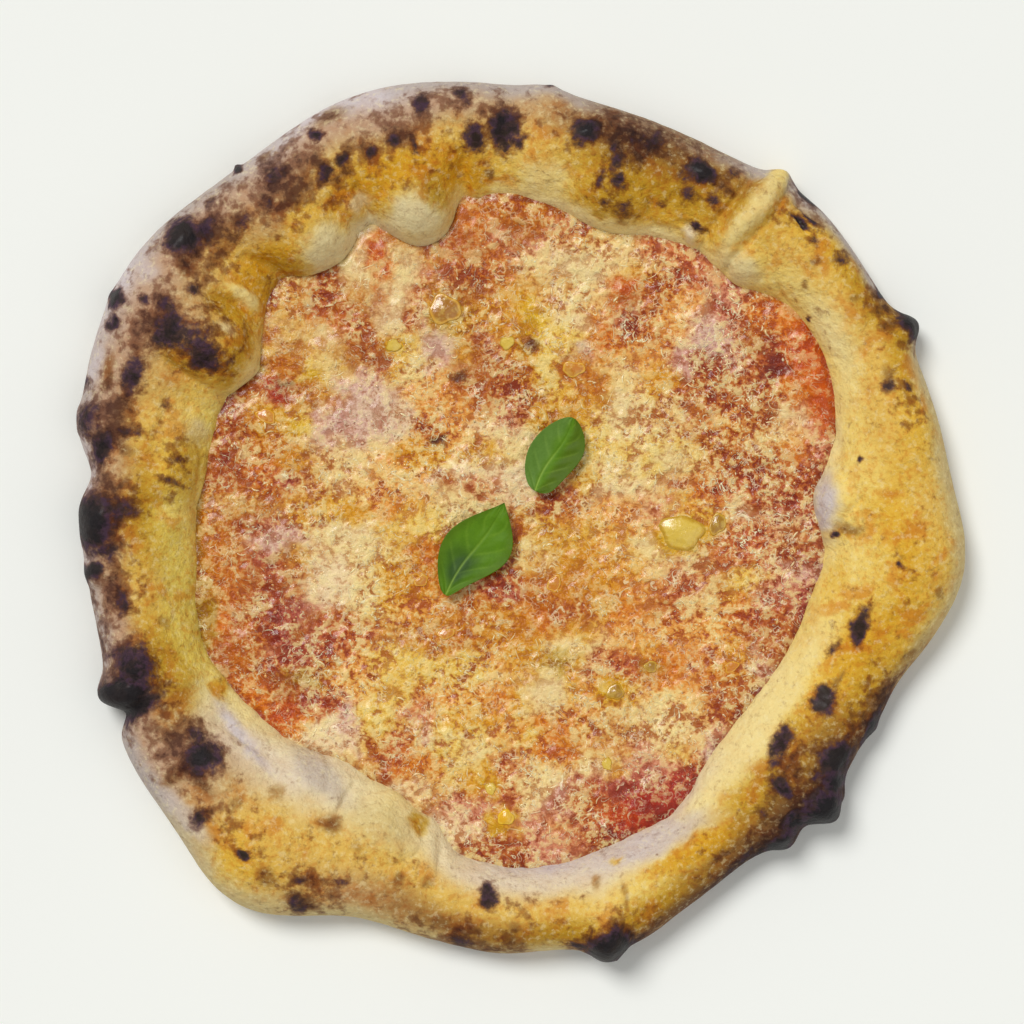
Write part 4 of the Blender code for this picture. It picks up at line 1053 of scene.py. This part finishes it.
def crust_colours(x, y, angles, share, points):
    """Colour, char and wetness at each point of the dough.

    The colour is read from the zones by angle and by place across the rim, then each spot is laid over it
    with a soft uneven edge. The underside and the hidden floor of the well get the plain baked tones.
    """
    palette = {name: np.array(rgb) / 255.0 for name, rgb in CRUST_COLOURS.items()}
    stops = np.array([zone[0] for zone in BAKE_ZONES])
    bands = np.array([[palette[name] for name in zone[1:]] for zone in BAKE_ZONES])
    stops = np.concatenate((stops[-1:] - 360.0, stops, stops[:1] + 360.0))
    bands = np.concatenate((bands[-1:], bands, bands[:1]))
    turned = (angles + 3.0 * noise(points, 14.0, 51, 2)) % 360.0
    place = np.clip(share + 0.05 * noise(points, 10.0, 52, 3), 0.0, 1.0)
    levels = np.array((0.02, 0.18, 0.48, 0.78, 0.97))
    colour = np.zeros((len(x), 3))
    for channel in range(3):
        ring = [np.interp(turned, stops, bands[:, band, channel]) for band in range(5)]
        value = ring[0].copy()
        for band in range(4):
            value += (ring[band + 1] - ring[band]) * smooth(levels[band], levels[band + 1], place)
        colour[:, channel] = value
    char = np.zeros(len(x))
    wet = 0.45 * smooth(0.34, 0.0, share)
    warp_x = x + 2.2 * noise(points, 7.0, 61, 3) + 1.0 * noise(points, 2.6, 63, 3)
    warp_y = y + 2.2 * noise(points, 7.0, 62, 3) + 1.0 * noise(points, 2.6, 64, 3)
    for angle, radius, length, width, name, strength in CRUST_SPOTS:
        along, across = rim_offsets(warp_x, warp_y, angle, radius)
        distance = np.hypot(along / (0.5 * length), across / (0.5 * width))
        if name in ("soot", "plum", "umber"):
            depth = {"soot": 1.25, "plum": 1.02, "umber": 0.84}[name]
            char = np.maximum(char, depth * strength * smooth(1.95, 0.15, distance))
            if name == "soot":
                wet = np.maximum(wet, 0.22 * smooth(1.1, 0.6, distance))
        else:
            cover = strength * smooth(1.40, 0.40, distance)
            colour += (palette[name] - colour) * cover[:, None]
    toast = np.zeros(len(x))
    for angle, radius, length, width, amount in TOAST:
        along, across = rim_offsets(warp_x, warp_y, angle, radius)
        toast = np.maximum(toast, amount * np.exp(-((along / length) ** 2) - (across / width) ** 2))
    return colour, char, wet, toast


def build_crust(crown_height):
    """The whole dough as one closed skin, its rings displaced along their own outward directions."""
    angles = np.arange(AROUND) * 360.0 / AROUND
    rows = rim_surface(angles, crown_height)
    count = len(rows)
    radius = np.array([row[0] for row in rows])
    height = np.array([row[1] + 0.0 * angles for row in rows])
    turned = np.radians(np.broadcast_to(angles, radius.shape))
    grid = np.stack((radius * np.cos(turned), radius * np.sin(turned), height), axis=-1)
    along = np.roll(grid, -1, axis=1) - np.roll(grid, 1, axis=1)
    across = np.gradient(grid, axis=0)
    outward = np.cross(along, across)
    outward /= np.linalg.norm(outward, axis=-1, keepdims=True) + 1e-9
    if outward[CROWN_ROW, :, 2].mean() < 0.0:
        outward = -outward
    points = grid.reshape(-1, 3)
    outward = outward.reshape(-1, 3)
    flat_angles = np.broadcast_to(angles, radius.shape).ravel()
    share = ((radius - inner_edge(angles)) / (outer_edge(angles) - inner_edge(angles))).ravel()
    free = smooth(0.2, 3.5, points[:, 2]) * np.repeat(np.arange(count) < count - 3, AROUND)
    top = np.clip(outward[:, 2], 0.0, 1.0)
    relief = crust_relief(points[:, 0], points[:, 1], points)
    moved = points + outward * ((relief * (0.15 + 0.85 * top)) * free)[:, None]
    for angle, half_width, reach, level in NUBS:
        offset = (flat_angles - angle + 180.0) % 360.0 - 180.0
        bulge = reach * np.exp(-((offset / half_width) ** 2) - ((points[:, 2] - level) / 5.0) ** 2)
        side = np.clip(1.0 - top, 0.0, 1.0) * (share > 0.6) * free
        moved[:, 0] += np.cos(np.radians(flat_angles)) * bulge * side
        moved[:, 1] += np.sin(np.radians(flat_angles)) * bulge * side
    for axis in (0, 1):
        low_limit = DOUGH_LOW[axis] / MM - SHIFT[axis] + EDGE_ROOM
        high_limit = DOUGH_HIGH[axis] / MM - SHIFT[axis] - EDGE_ROOM
        moved[:, axis] = np.clip(moved[:, axis], low_limit, high_limit)
    colour, char, wet, toast = crust_colours(points[:, 0], points[:, 1], flat_angles, share, points)
    faces = ring_faces(count, AROUND)
    centres = np.array(((0.0, 0.0, 0.0), (0.0, 0.0, BASE_THICKNESS)))
    low, high = len(moved), len(moved) + 1
    step = np.arange(AROUND)
    following = (step + 1) % AROUND
    last = (count - 1) * AROUND
    points = np.vstack((moved, centres))
    caps = np.vstack((np.column_stack((np.full(AROUND, low), following, step)),
                      np.column_stack((last + step, last + following, np.full(AROUND, high)))))
    triangles = np.vstack((faces[:, (0, 1, 2)], faces[:, (0, 2, 3)], caps))
    bake = np.vstack((colour, colour[:1], colour[-1:]))
    char = np.append(char, (0.0, 0.0))
    wet = np.append(wet, (0.0, 0.0))
    toast = np.append(toast, (0.0, 0.0))
    mottle = 1.0 - 0.85 * smooth(0.36, 0.58, bake[:, 2])
    colour = linear(bake)
    attributes = {"bake": colour, "char": char, "wet": wet, "toast": toast, "mottle": mottle}
    made = add_mesh("crust", points, triangles, attributes, crust_finish())
    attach(made, "root")
    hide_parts("dough")
    return made


# --------------------------------------------------------------------------------------------- topping

def topping_tones(x, y, points):
    """Colour, grain and wetness at each place of the topping.

    Every patch of a tone pulls with exp(-2.2 d^2), d being the distance in patch sizes, at places shifted
    by two sizes of noise, and the tones are averaged with those pulls.
    """
    warp_x = x + 3.4 * noise(points, 11.0, 71, 3) + 3.4 * noise(points, 3.4, 73, 4, 0.65)
    warp_y = y + 3.4 * noise(points, 11.0, 72, 3) + 3.4 * noise(points, 3.4, 74, 4, 0.65)
    total = np.full(len(x), 1e-6)
    colour = np.zeros((len(x), 3)) + np.array((214, 148, 84)) / 255.0 * 1e-6
    grain = np.full(len(x), 1e-6 * 0.7)
    wet = np.full(len(x), 1e-6 * 0.7)
    for index, (name, patches) in enumerate(TOPPING.items()):
        rgb, tone_grain, tone_wet, tone_pull = TONES[name]
        bias = 0.42 * noise(points, 3.8, 90 + index, 3)
        for px, py, length, width in patches:
            distance = np.hypot((warp_x - px) / (0.8 * length), (warp_y - py) / (0.8 * width))
            pull = tone_pull * np.exp(-2.2 * distance ** 2 + 4.0 * bias)
            total += pull
            colour += pull[:, None] * (np.array(rgb) / 255.0)
            grain += pull * tone_grain
            wet += pull * tone_wet
    return colour / total[:, None], grain / total, wet / total


def topping_height(x, y, grain):
    """Height of the topping above the table, in millimetres.

    The sauce's level, broad waves, the melted domes, and round grains where the cheese has curdled, sinking a
    little towards the rim.
    """
    flat = np.column_stack((x, y, np.zeros_like(x)))
    height = SAUCE_TOP + 0.4 + 0.8 * noise(flat, 24.0, 81, 2) + 0.45 * noise(flat, 7.0, 82, 3)
    warp_x = x + 1.8 * noise(flat, 8.0, 83, 2)
    warp_y = y + 1.8 * noise(flat, 8.0, 84, 2)
    for px, py, length, width, turn, rise in MELTED_DOMES:
        turned = np.radians(turn)
        along = (warp_x - px) * np.cos(turned) + (warp_y - py) * np.sin(turned)
        across = -(warp_x - px) * np.sin(turned) + (warp_y - py) * np.cos(turned)
        distance = np.hypot(along / (0.55 * length), across / (0.55 * width))
        height += rise * 0.8 * np.exp(-(distance ** 2.6))
    first, token = cells(warp_x, warp_y, 5.0, 85)
    height += (0.2 + grain) * (0.9 * (token - 0.3) * np.clip(1.0 - first * 1.3, 0.0, 1.0) ** 0.7)
    first, token = cells(1.5 * x - 0.5 * warp_x, 1.5 * y - 0.5 * warp_y, 2.9, 86)
    height += (0.1 + grain) * (0.75 * (token - 0.25) * np.clip(1.0 - first * 1.35, 0.0, 1.0) ** 0.6)
    height += 0.30 * grain * noise(flat, 2.6, 92, 2)
    angle = np.degrees(np.arctan2(y, x))
    edge = inner_edge(angle) - np.hypot(x, y)
    height -= 0.5 * smooth(3.5, -0.5, edge)
    return height


SIDE = 312


def build_topping():
    """The sauce and melted cheese as one closed layer that fills the well.

    A square grid (u, v) is bent into a disc by x = u sqrt(1 - v^2/2), y = v sqrt(1 - u^2/2), and stretched so
    that its border follows the rim's inner edge.
    """
    line = np.linspace(-1.0, 1.0, SIDE)
    u, v = (part.ravel() for part in np.meshgrid(line, line, indexing="xy"))
    dx = u * np.sqrt(1.0 - v * v / 2.0)
    dy = v * np.sqrt(1.0 - u * u / 2.0)
    angle = np.degrees(np.arctan2(dy, dx))
    reach = inner_edge(angle) + 1.2
    x = dx * reach
    y = dy * reach
    flat = np.column_stack((x, y, np.zeros_like(x)))
    colour, grain, wet = topping_tones(x, y, flat)
    z = topping_height(x, y, grain)
    edge = inner_edge(angle) - np.hypot(x, y)
    # painted shade: the topping is darkened by up to 12% within 3 mm of the rim's inner edge, where the rim
    # shades it
    colour *= (1.0 - 0.12 * smooth(3.0, 0.0, edge))[:, None]
    top = np.column_stack((x, y, z))
    faces = facing_up(top, sheet_faces(SIDE, SIDE))
    border = sheet_border(SIDE, SIDE)
    skirt = top[border] * (1.0, 1.0, 0.0) + (0.0, 0.0, BASE_THICKNESS + 0.1)
    start = len(top)
    here = np.arange(len(border))
    following = (here + 1) % len(border)
    walls = np.column_stack((border[here], start + here, start + following, border[following]))
    centre = start + len(border)
    under = np.column_stack((start + following, start + here, np.full(len(border), centre)))
    points = np.vstack((top, skirt, ((0.0, 0.0, BASE_THICKNESS + 0.1),)))
    triangles = np.vstack((faces[:, (0, 1, 2)], faces[:, (0, 2, 3)],
                           walls[:, (0, 1, 2)], walls[:, (0, 2, 3)], under))
    colour = linear(np.vstack((colour, colour[border], colour[:1])))
    grain = np.concatenate((grain, grain[border], grain[:1]))
    wet = np.concatenate((wet, wet[border], wet[:1]))
    attributes = {"tone": colour, "grain": grain, "wet": wet}
    made = add_mesh("melted_topping", points, triangles, attributes, topping_finish())
    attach(made, "root")
    nodes = [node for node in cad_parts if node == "tomato_sauce" or node.startswith("mozzarella_")]
    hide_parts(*nodes)
    return made


def inside_well(x, y, margin):
    angle = np.degrees(np.arctan2(y, x))
    return np.hypot(x, y) < inner_edge(angle) - margin


def off_the_leaves(x, y):
    """True where no basil leaf lies."""
    clear = np.ones(len(x), bool)
    for name, stem, tip, blunt, lifts, widths in BASIL:
        length = np.hypot(tip[0] - stem[0], tip[1] - stem[1])
        forward = np.array(((tip[0] - stem[0]) / length, (tip[1] - stem[1]) / length))
        along = (x - stem[0]) * forward[0] + (y - stem[1]) * forward[1]
        side = -(x - stem[0]) * forward[1] + (y - stem[1]) * forward[0]
        clear &= ~((along > -1.0) & (along < length + 1.0) & (np.abs(side) < 11.0))
    return clear


def build_shreds():
    """Grated shreds: ribbons of nine rings of four points, along paths whose heading turns steadily."""
    rng = np.random.default_rng(11)
    starts = []
    for cx, cy, spread, count in SHRED_CLUSTERS:
        starts.append(rng.normal((cx, cy), spread * 0.6, (int(0.75 * count), 2)))
    starts = np.vstack(starts)
    keep = inside_well(starts[:, 0], starts[:, 1], 5.0) & off_the_leaves(starts[:, 0], starts[:, 1])
    starts = starts[keep]
    count = len(starts)
    rings = 9
    long = rng.random(count) < 0.16
    length = rng.uniform(1.0, 3.4, count) * np.where(long, 2.6, 1.0)
    heading = rng.uniform(0.0, 2.0 * np.pi, count)
    curl = rng.normal(0.0, 1.6, count)
    width = rng.uniform(0.22, 0.50, count) * np.where(long, 0.6, 1.0)
    share = np.linspace(0.0, 1.0, rings)
    turn = heading[:, None] + curl[:, None] * (share[None, :] - 0.5)
    step = length[:, None] / (rings - 1)
    x = starts[:, :1] + np.cumsum(np.cos(turn) * step, axis=1)
    y = starts[:, 1:] + np.cumsum(np.sin(turn) * step, axis=1)
    flat = np.column_stack((x.ravel(), y.ravel(), np.zeros(x.size)))
    tone, grain, wet = topping_tones(x.ravel(), y.ravel(), flat)
    z = topping_height(x.ravel(), y.ravel(), grain).reshape(x.shape)
    smooth_z = z.mean(axis=1, keepdims=True) * 0.3 + z * 0.7 - 0.04
    thick = np.sin(np.pi * np.clip(share, 0.06, 0.94)) ** 0.5
    across = np.stack((-np.sin(turn), np.cos(turn)), axis=-1)
    half = (width[:, None] * thick[None, :])[..., None]
    centre = np.stack((x, y, smooth_z), axis=-1)
    up = np.array((0.0, 0.0, 1.0))
    side = np.concatenate((across, np.zeros_like(x)[..., None]), axis=-1)
    corners = np.stack((centre + side * half, centre + up * half * 0.8,
                        centre - side * half, centre - up * half * 0.8), axis=2)
    points = corners.reshape(-1, 3)
    base = np.arange(count)[:, None, None] * rings * 4
    row = np.arange(rings - 1)[None, :, None] * 4
    spot = np.arange(4)[None, None, :]
    a = (base + row + spot).ravel()
    b = (base + row + (spot + 1) % 4).ravel()
    faces = np.column_stack((a, b, b + 4, a + 4))
    first = np.arange(count) * rings * 4
    last = first + (rings - 1) * 4
    ends = np.vstack((np.column_stack((first + 3, first + 2, first + 1, first)),
                      np.column_stack((last, last + 1, last + 2, last + 3))))
    faces = np.vstack((faces, ends))[:, ::-1]
    tones = linear(np.repeat(tone, 4, axis=0))
    made = add_mesh("grated_shreds", points, faces, {"tone": tones}, shred_finish())
    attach(made, "root")
    return made


BEAD_TRIES = 9000


def build_beads():
    """Beads of oil and whey: low caps of eight sides and three rings, scattered over the grainy places."""
    rng = np.random.default_rng(23)
    x = rng.uniform(-122.0, 122.0, BEAD_TRIES)
    y = rng.uniform(-122.0, 122.0, BEAD_TRIES)
    tone, grain, wet = topping_tones(x, y, np.column_stack((x, y, 0.0 * x)))
    keep = inside_well(x, y, 2.5) & off_the_leaves(x, y) & (rng.random(BEAD_TRIES) < 0.12 + 0.5 * grain ** 2)
    x, y, grain, tone = x[keep], y[keep], grain[keep], tone[keep]
    radius = 0.22 + 0.55 * rng.random(len(x)) ** 3
    z = topping_height(x, y, grain) - 0.05
    sides = 8
    angle = np.arange(sides) * 2.0 * np.pi / sides
    rings = []
    for out, rise in ((1.0, -0.3), (0.92, 0.3), (0.5, 0.62)):
        reach = radius[:, None] * out
        ring_x = x[:, None] + reach * np.cos(angle)
        ring_y = y[:, None] + reach * np.sin(angle)
        level = np.broadcast_to((z + radius * rise)[:, None], (len(x), sides))
        rings.append(np.stack((ring_x, ring_y, level), axis=-1))
    tops = np.stack((x, y, z + radius * 0.7), axis=-1)[:, None, :]
    lows = np.stack((x, y, z - radius * 0.3), axis=-1)[:, None, :]
    points = np.concatenate(rings + [tops, lows], axis=1).reshape(-1, 3)
    size = 3 * sides + 2
    base = (np.arange(len(x)) * size)[:, None]
    step = np.arange(sides)
    following = (step + 1) % sides
    triangles = []
    for row in range(2):
        a, b = row * sides + step, row * sides + following
        triangles.append(np.stack((base + a, base + b, base + b + sides), -1))
        triangles.append(np.stack((base + a, base + b + sides, base + a + sides), -1))
    a, b = 2 * sides + step, 2 * sides + following
    triangles.append(np.stack((base + a, base + b, np.broadcast_to(base + 3 * sides, (len(x), sides))), -1))
    lowest = np.broadcast_to(base + 3 * sides + 1, (len(x), sides))
    triangles.append(np.stack((base + following, base + step, lowest), -1))
    faces = np.concatenate(triangles, axis=1).reshape(-1, 3)
    tones = linear(np.repeat(tone, size, axis=0))
    made = add_mesh("oil_beads", points, faces, {"tone": tones}, drop_finish())
    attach(made, "root")
    return made


def build_pools():
    """Pools of oil: discs over (r, angle), following the topping, domed by 1 - r^2 and beaded."""
    sides, rings = 48, 14
    turns = np.arange(sides) * 2.0 * np.pi / sides
    share, turn = np.meshgrid(np.linspace(0.02, 1.0, rings), turns, indexing="ij")
    all_points, all_faces, all_tones = [], [], []
    start = 0
    for index, (px, py, length, width, tilt, rise, name) in enumerate(POOLS):
        wobble = 1.0 + 0.10 * np.sin(3.0 * turn + index) + 0.06 * np.sin(5.0 * turn + 2.3 * index)
        along = 0.5 * length * share * wobble * np.cos(turn)
        across = 0.5 * width * share * wobble * np.sin(turn)
        tilted = np.radians(tilt)
        x = (px + along * np.cos(tilted) - across * np.sin(tilted)).ravel()
        y = (py + along * np.sin(tilted) + across * np.cos(tilted)).ravel()
        level = topping_height(x, y, np.full(x.shape, 0.1))
        flat_share = share.ravel()
        bead = np.exp(-(((flat_share - 0.84) / 0.09) ** 2))
        z = level + rise * (1.0 - flat_share ** 2) + 0.14 * bead + 0.22 - 0.9 * smooth(0.9, 1.0, flat_share)
        inner, edge, dark = (np.array(rgb) / 255.0 for rgb in POOL_TONES[name])
        tones = inner + (edge - inner) * bead[:, None]
        tones = tones + (dark - tones) * smooth(0.90, 1.0, flat_share)[:, None]
        faces = ring_faces(rings, sides) + start
        all_points.append(np.column_stack((x, y, z)))
        step = np.arange(sides)
        following = (step + 1) % sides
        size = rings * sides
        middle = np.full(sides, start + size)
        under = np.full(sides, start + size + 1)
        last = start + (rings - 1) * sides
        caps = np.vstack((np.column_stack((start + following, start + step, middle)),
                          np.column_stack((last + step, last + following, under))))
        all_points.append(np.array(((px, py, z[0]), (px, py, z.min() - 0.4))))
        all_tones += [tones, tones[:1], tones[:1]]
        all_faces += [faces[:, (0, 1, 2)], faces[:, (0, 2, 3)], caps]
        start += size + 2
    points = np.vstack(all_points)
    faces = np.vstack(all_faces)
    made = add_mesh("oil_pools", points, faces, {"tone": linear(np.vstack(all_tones))}, pool_finish())
    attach(made, "root")
    return made


# ----------------------------------------------------------------------------------------------- basil

LEAF_ROWS = 72
LEAF_COLUMNS = 56


def build_leaf(entry, material):
    """A leaf from two sheets over (s, v): s along the midrib, v from -1 at the left edge to 1 at the right.

    Each half width is s^a (1 - s)^b times a cubic in s, its four numbers fitted to the listed widths. The
    blade cups up to the edges, bulges between the side veins and sinks along them.
    """
    name, stem, tip, blunt, lifts, widths = entry
    s, v = np.meshgrid(np.linspace(0.0, 1.0, LEAF_ROWS), np.linspace(-1.0, 1.0, LEAF_COLUMNS), indexing="ij")
    length = np.hypot(tip[0] - stem[0], tip[1] - stem[1])
    forward = np.array(((tip[0] - stem[0]) / length, (tip[1] - stem[1]) / length))
    leftward = np.array((-forward[1], forward[0]))
    known = np.array(widths)
    ends = known[:, 0] ** blunt[0] * (1.0 - known[:, 0]) ** blunt[1]
    powers = known[:, :1] ** np.arange(4) * ends[:, None]
    here = np.clip(s, 0.002, 0.998)
    taper = here ** blunt[0] * (1.0 - here) ** blunt[1]
    sides = []
    for side in (1, 2):
        c = np.linalg.lstsq(powers, known[:, side], rcond=None)[0]
        sides.append(taper * (c[0] + c[1] * here + c[2] * here ** 2 + c[3] * here ** 3))
    half = np.where(v < 0.0, sides[0], sides[1])
    offset = 0.8 * np.sin(2.0 * np.pi * s) - v * half
    x = stem[0] + forward[0] * s * length + leftward[0] * offset
    y = stem[1] + forward[1] * s * length + leftward[1] * offset
    veins = (s - 0.30 * np.abs(v) ** 1.2) * 4.6
    vein = np.exp(-(((veins - np.round(veins)) / 0.07) ** 2))
    vein = vein * smooth(0.02, 0.2, np.abs(v)) * smooth(0.95, 0.6, np.abs(v))
    midrib = np.exp(-((v * half / 0.38) ** 2))
    lift = np.where(v < 0.0, lifts[0], lifts[1])
    quilt = np.cos(2.0 * np.pi * veins) * smooth(0.05, 0.4, np.abs(v)) * smooth(1.0, 0.5, np.abs(v))
    flat = np.column_stack((x.ravel(), y.ravel(), np.zeros(x.size)))
    ripple = noise(flat, 7.0, 31, 2).reshape(x.shape)
    cup = lift * np.abs(v) ** 2.0 * np.sin(np.pi * np.clip(s, 0.05, 0.95))
    z = LEAF_REST + cup - 0.14 * quilt - 0.35 * midrib
    z += 0.55 * ripple + 1.2 * (2.0 * s - 1.0) ** 2
    thickness = 0.35
    top = np.column_stack((x.ravel(), y.ravel(), (z + thickness).ravel()))
    low = np.column_stack((x.ravel(), y.ravel(), z.ravel()))
    faces = facing_up(top, sheet_faces(LEAF_ROWS, LEAF_COLUMNS))
    border = sheet_border(LEAF_ROWS, LEAF_COLUMNS)
    following = np.roll(border, -1)
    size = len(top)
    walls = np.column_stack((border, following, following + size, border + size))
    wall_points = np.vstack((top, low))
    middle = wall_points[walls].mean(axis=1)
    corner = wall_points[walls[:, 0]]
    across = np.cross(wall_points[walls[:, 1]] - corner, wall_points[walls[:, 2]] - corner)
    away = middle[:, :2] - top[:, :2].mean(axis=0)
    if (across[:, :2] * away).sum() < 0.0:
        walls = walls[:, ::-1]
    quads = np.vstack((faces, faces[:, ::-1] + size, walls))
    green, painted_sheen, deep, pale, dark = (np.array(rgb) / 255.0 for rgb in LEAF_TONES.values())
    flat_v, flat_s = v.ravel(), s.ravel()
    colour = np.zeros((size, 3)) + green
    # painted highlight: the upper leaf's left half is tinted with a bluish sheen, and its right half is
    # turned deeper green
    if name == "upper":
        colour += (painted_sheen - colour) * (smooth(0.15, -0.5, flat_v + 0.25 * ripple.ravel()) * 0.75)[:, None]
        colour += (deep - colour) * (smooth(0.05, 0.45, flat_v + 0.2 * ripple.ravel()) * 0.85)[:, None]
    else:
        sideways = (flat_v + 0.10 + 0.3 * ripple.ravel()) / 0.55
        patch = np.exp(-(((flat_s - 0.27) / 0.15) ** 2) - sideways ** 2)
        colour += (dark - colour) * (np.clip(1.6 * patch, 0.0, 1.0) * 0.9)[:, None]
        colour += (deep - colour) * (smooth(0.55, 1.0, np.abs(flat_v)) * 0.5)[:, None]
    lines = np.clip(midrib.ravel() * smooth(1.0, 0.2, flat_s) + 0.3 * vein.ravel(), 0.0, 1.0)
    colour += (pale - colour) * (0.75 * lines)[:, None]
    colour = linear(np.vstack((colour, colour * 0.9 + 0.05)))
    made = add_mesh("basil_" + name, wall_points, quads, {"tone": colour}, material)
    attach(made, "root")
    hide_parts("basil_leaf_" + name)
    return made


# ----------------------------------------------------------------------------------------------- stage

KEY_PLACE = (-0.62, 0.80, 1.55)
KEY_SPREAD = 24.0
FILL_PLACE = (0.95, -0.65, 1.40)
FILL_SPREAD = 60.0
FLOOR_REACH = 3.0
FLOOR_GAP = 0.0005
CAMERA_DISTANCE = 1.4
TOPPING_LEVEL = 0.012
VIEW_WIDTH = 0.3686
VIEW_MIDDLE = (-3.24, 2.88)
SENSOR_WIDTH = 36.0


def add_light(name, place, strength, spread):
    """A far soft lamp that shines from a place towards the origin, its disc as wide as the spread."""
    lamp = bpy.data.lights.new(name, "SUN")
    lamp.energy = strength
    lamp.angle = np.radians(spread)
    made = bpy.data.objects.new(name, lamp)
    bpy.context.scene.collection.objects.link(made)
    made.location = place
    made.rotation_euler = (-Vector(place)).to_track_quat("-Z", "Y").to_euler()
    return made


def build_stage(stage):
    """Pale floor, soft light from the upper left, a weak fill, an even surround and the camera above."""
    scene = bpy.context.scene
    reach = FLOOR_REACH
    mesh = bpy.data.meshes.new("floor")
    corners = [(-reach, -reach, 0.0), (reach, -reach, 0.0), (reach, reach, 0.0), (-reach, reach, 0.0)]
    mesh.from_pydata(corners, [], [(0, 1, 2, 3)])
    mesh.materials.append(floor_finish(tuple(stage.floor_colour)))
    floor = bpy.data.objects.new("floor", mesh)
    scene.collection.objects.link(floor)
    floor.location.z = CAD_BOX[0][2] - FLOOR_GAP
    key = add_light("key_light", KEY_PLACE, stage.key_strength, KEY_SPREAD)
    fill = add_light("fill_light", FILL_PLACE, stage.fill_strength, FILL_SPREAD)
    world = bpy.data.worlds.new("surround")
    scene.world = world
    world.use_nodes = True
    world.node_tree.nodes["Background"].inputs["Color"].default_value = (1.0, 1.0, 1.0, 1.0)
    world.node_tree.nodes["Background"].inputs["Strength"].default_value = stage.surround
    lens = bpy.data.cameras.new("camera")
    camera = bpy.data.objects.new("camera", lens)
    scene.collection.objects.link(camera)
    lens.sensor_width = SENSOR_WIDTH
    lens.lens = SENSOR_WIDTH * CAMERA_DISTANCE / VIEW_WIDTH
    lens.clip_start = 0.05
    camera.location = ((VIEW_MIDDLE[0] + SHIFT[0]) * MM, (VIEW_MIDDLE[1] + SHIFT[1]) * MM,
                       CAMERA_DISTANCE + TOPPING_LEVEL)
    camera.rotation_euler = (0.0, 0.0, 0.0)
    scene.camera = camera
    scene.view_settings.view_transform = "Standard"


# ---------------------------------------------------------------------------------------------- add-on

class PizzaSizes(bpy.types.PropertyGroup):
    """Sizes that a user may change."""

    crown_height: FloatProperty(name="Crown height", default=22.0, min=12.0, max=30.0,
                                description="Height of the rim's crown above the table, in millimetres")


class PizzaStage(bpy.types.PropertyGroup):
    """Light and floor."""

    key_strength: FloatProperty(name="Key light", default=1.92,
                                description="Strength of the soft lamp at the upper left")
    fill_strength: FloatProperty(name="Fill light", default=0.45,
                                 description="Strength of the weak lamp opposite")
    surround: FloatProperty(name="Surround", description="Strength of the even light all round", default=0.30)
    floor_colour: FloatVectorProperty(name="Floor", description="Colour of the table, in sRGB",
                                      subtype="COLOR_GAMMA",
                                      default=(0.985, 0.990, 0.966), min=0.0, max=1.0)


class PIZZA_OT_crust(bpy.types.Operator):
    """Build the dough with its blistered and charred rim"""

    bl_idname = "pizza.crust"
    bl_label = "Crust"

    def execute(self, context):
        build_crust(context.scene.pizza_sizes.crown_height)
        return {"FINISHED"}


class PIZZA_OT_topping(bpy.types.Operator):
    """Build the melted sauce and cheese"""

    bl_idname = "pizza.topping"
    bl_label = "Melted topping"

    def execute(self, context):
        build_topping()
        return {"FINISHED"}


class PIZZA_OT_crumbs(bpy.types.Operator):
    """Build the grated shreds, the oil beads and the oil pools"""

    bl_idname = "pizza.crumbs"
    bl_label = "Shreds and beads"

    def execute(self, context):
        build_shreds()
        build_beads()
        build_pools()
        return {"FINISHED"}


class PIZZA_OT_basil(bpy.types.Operator):
    """Build the basil leaves"""

    bl_idname = "pizza.basil"
    bl_label = "Basil"

    def execute(self, context):
        green = leaf_finish()
        for entry in BASIL:
            build_leaf(entry, green)
        return {"FINISHED"}


class PIZZA_OT_stage(bpy.types.Operator):
    """Build the floor, lights, surround and camera"""

    bl_idname = "pizza.stage"
    bl_label = "Stage"

    def execute(self, context):
        build_stage(context.scene.pizza_stage)
        return {"FINISHED"}


class PIZZA_PT_panel(bpy.types.Panel):
    """Sizes, light and the build buttons"""

    bl_idname = "PIZZA_PT_panel"
    bl_label = "Baked pizza"
    bl_space_type = "VIEW_3D"
    bl_region_type = "UI"
    bl_category = "Pizza"

    def draw(self, context):
        layout = self.layout
        layout.prop(context.scene.pizza_sizes, "crown_height")
        for key in ("key_strength", "fill_strength", "surround", "floor_colour"):
            layout.prop(context.scene.pizza_stage, key)
        for operator in ("crust", "topping", "crumbs", "basil", "stage"):
            layout.operator("pizza." + operator)


CLASSES = (PizzaSizes, PizzaStage, PIZZA_OT_crust, PIZZA_OT_topping, PIZZA_OT_crumbs, PIZZA_OT_basil,
           PIZZA_OT_stage, PIZZA_PT_panel)


def register():
    for entry in CLASSES:
        bpy.utils.register_class(entry)
    bpy.types.Scene.pizza_sizes = PointerProperty(type=PizzaSizes)
    bpy.types.Scene.pizza_stage = PointerProperty(type=PizzaStage)


def unregister():
    del bpy.types.Scene.pizza_stage
    del bpy.types.Scene.pizza_sizes
    for entry in reversed(CLASSES):
        bpy.utils.unregister_class(entry)


def main():
    register()
    bpy.ops.pizza.crust()
    bpy.ops.pizza.topping()
    bpy.ops.pizza.crumbs()
    bpy.ops.pizza.basil()
    bpy.ops.pizza.stage()


if __name__ == "__main__":
    main()
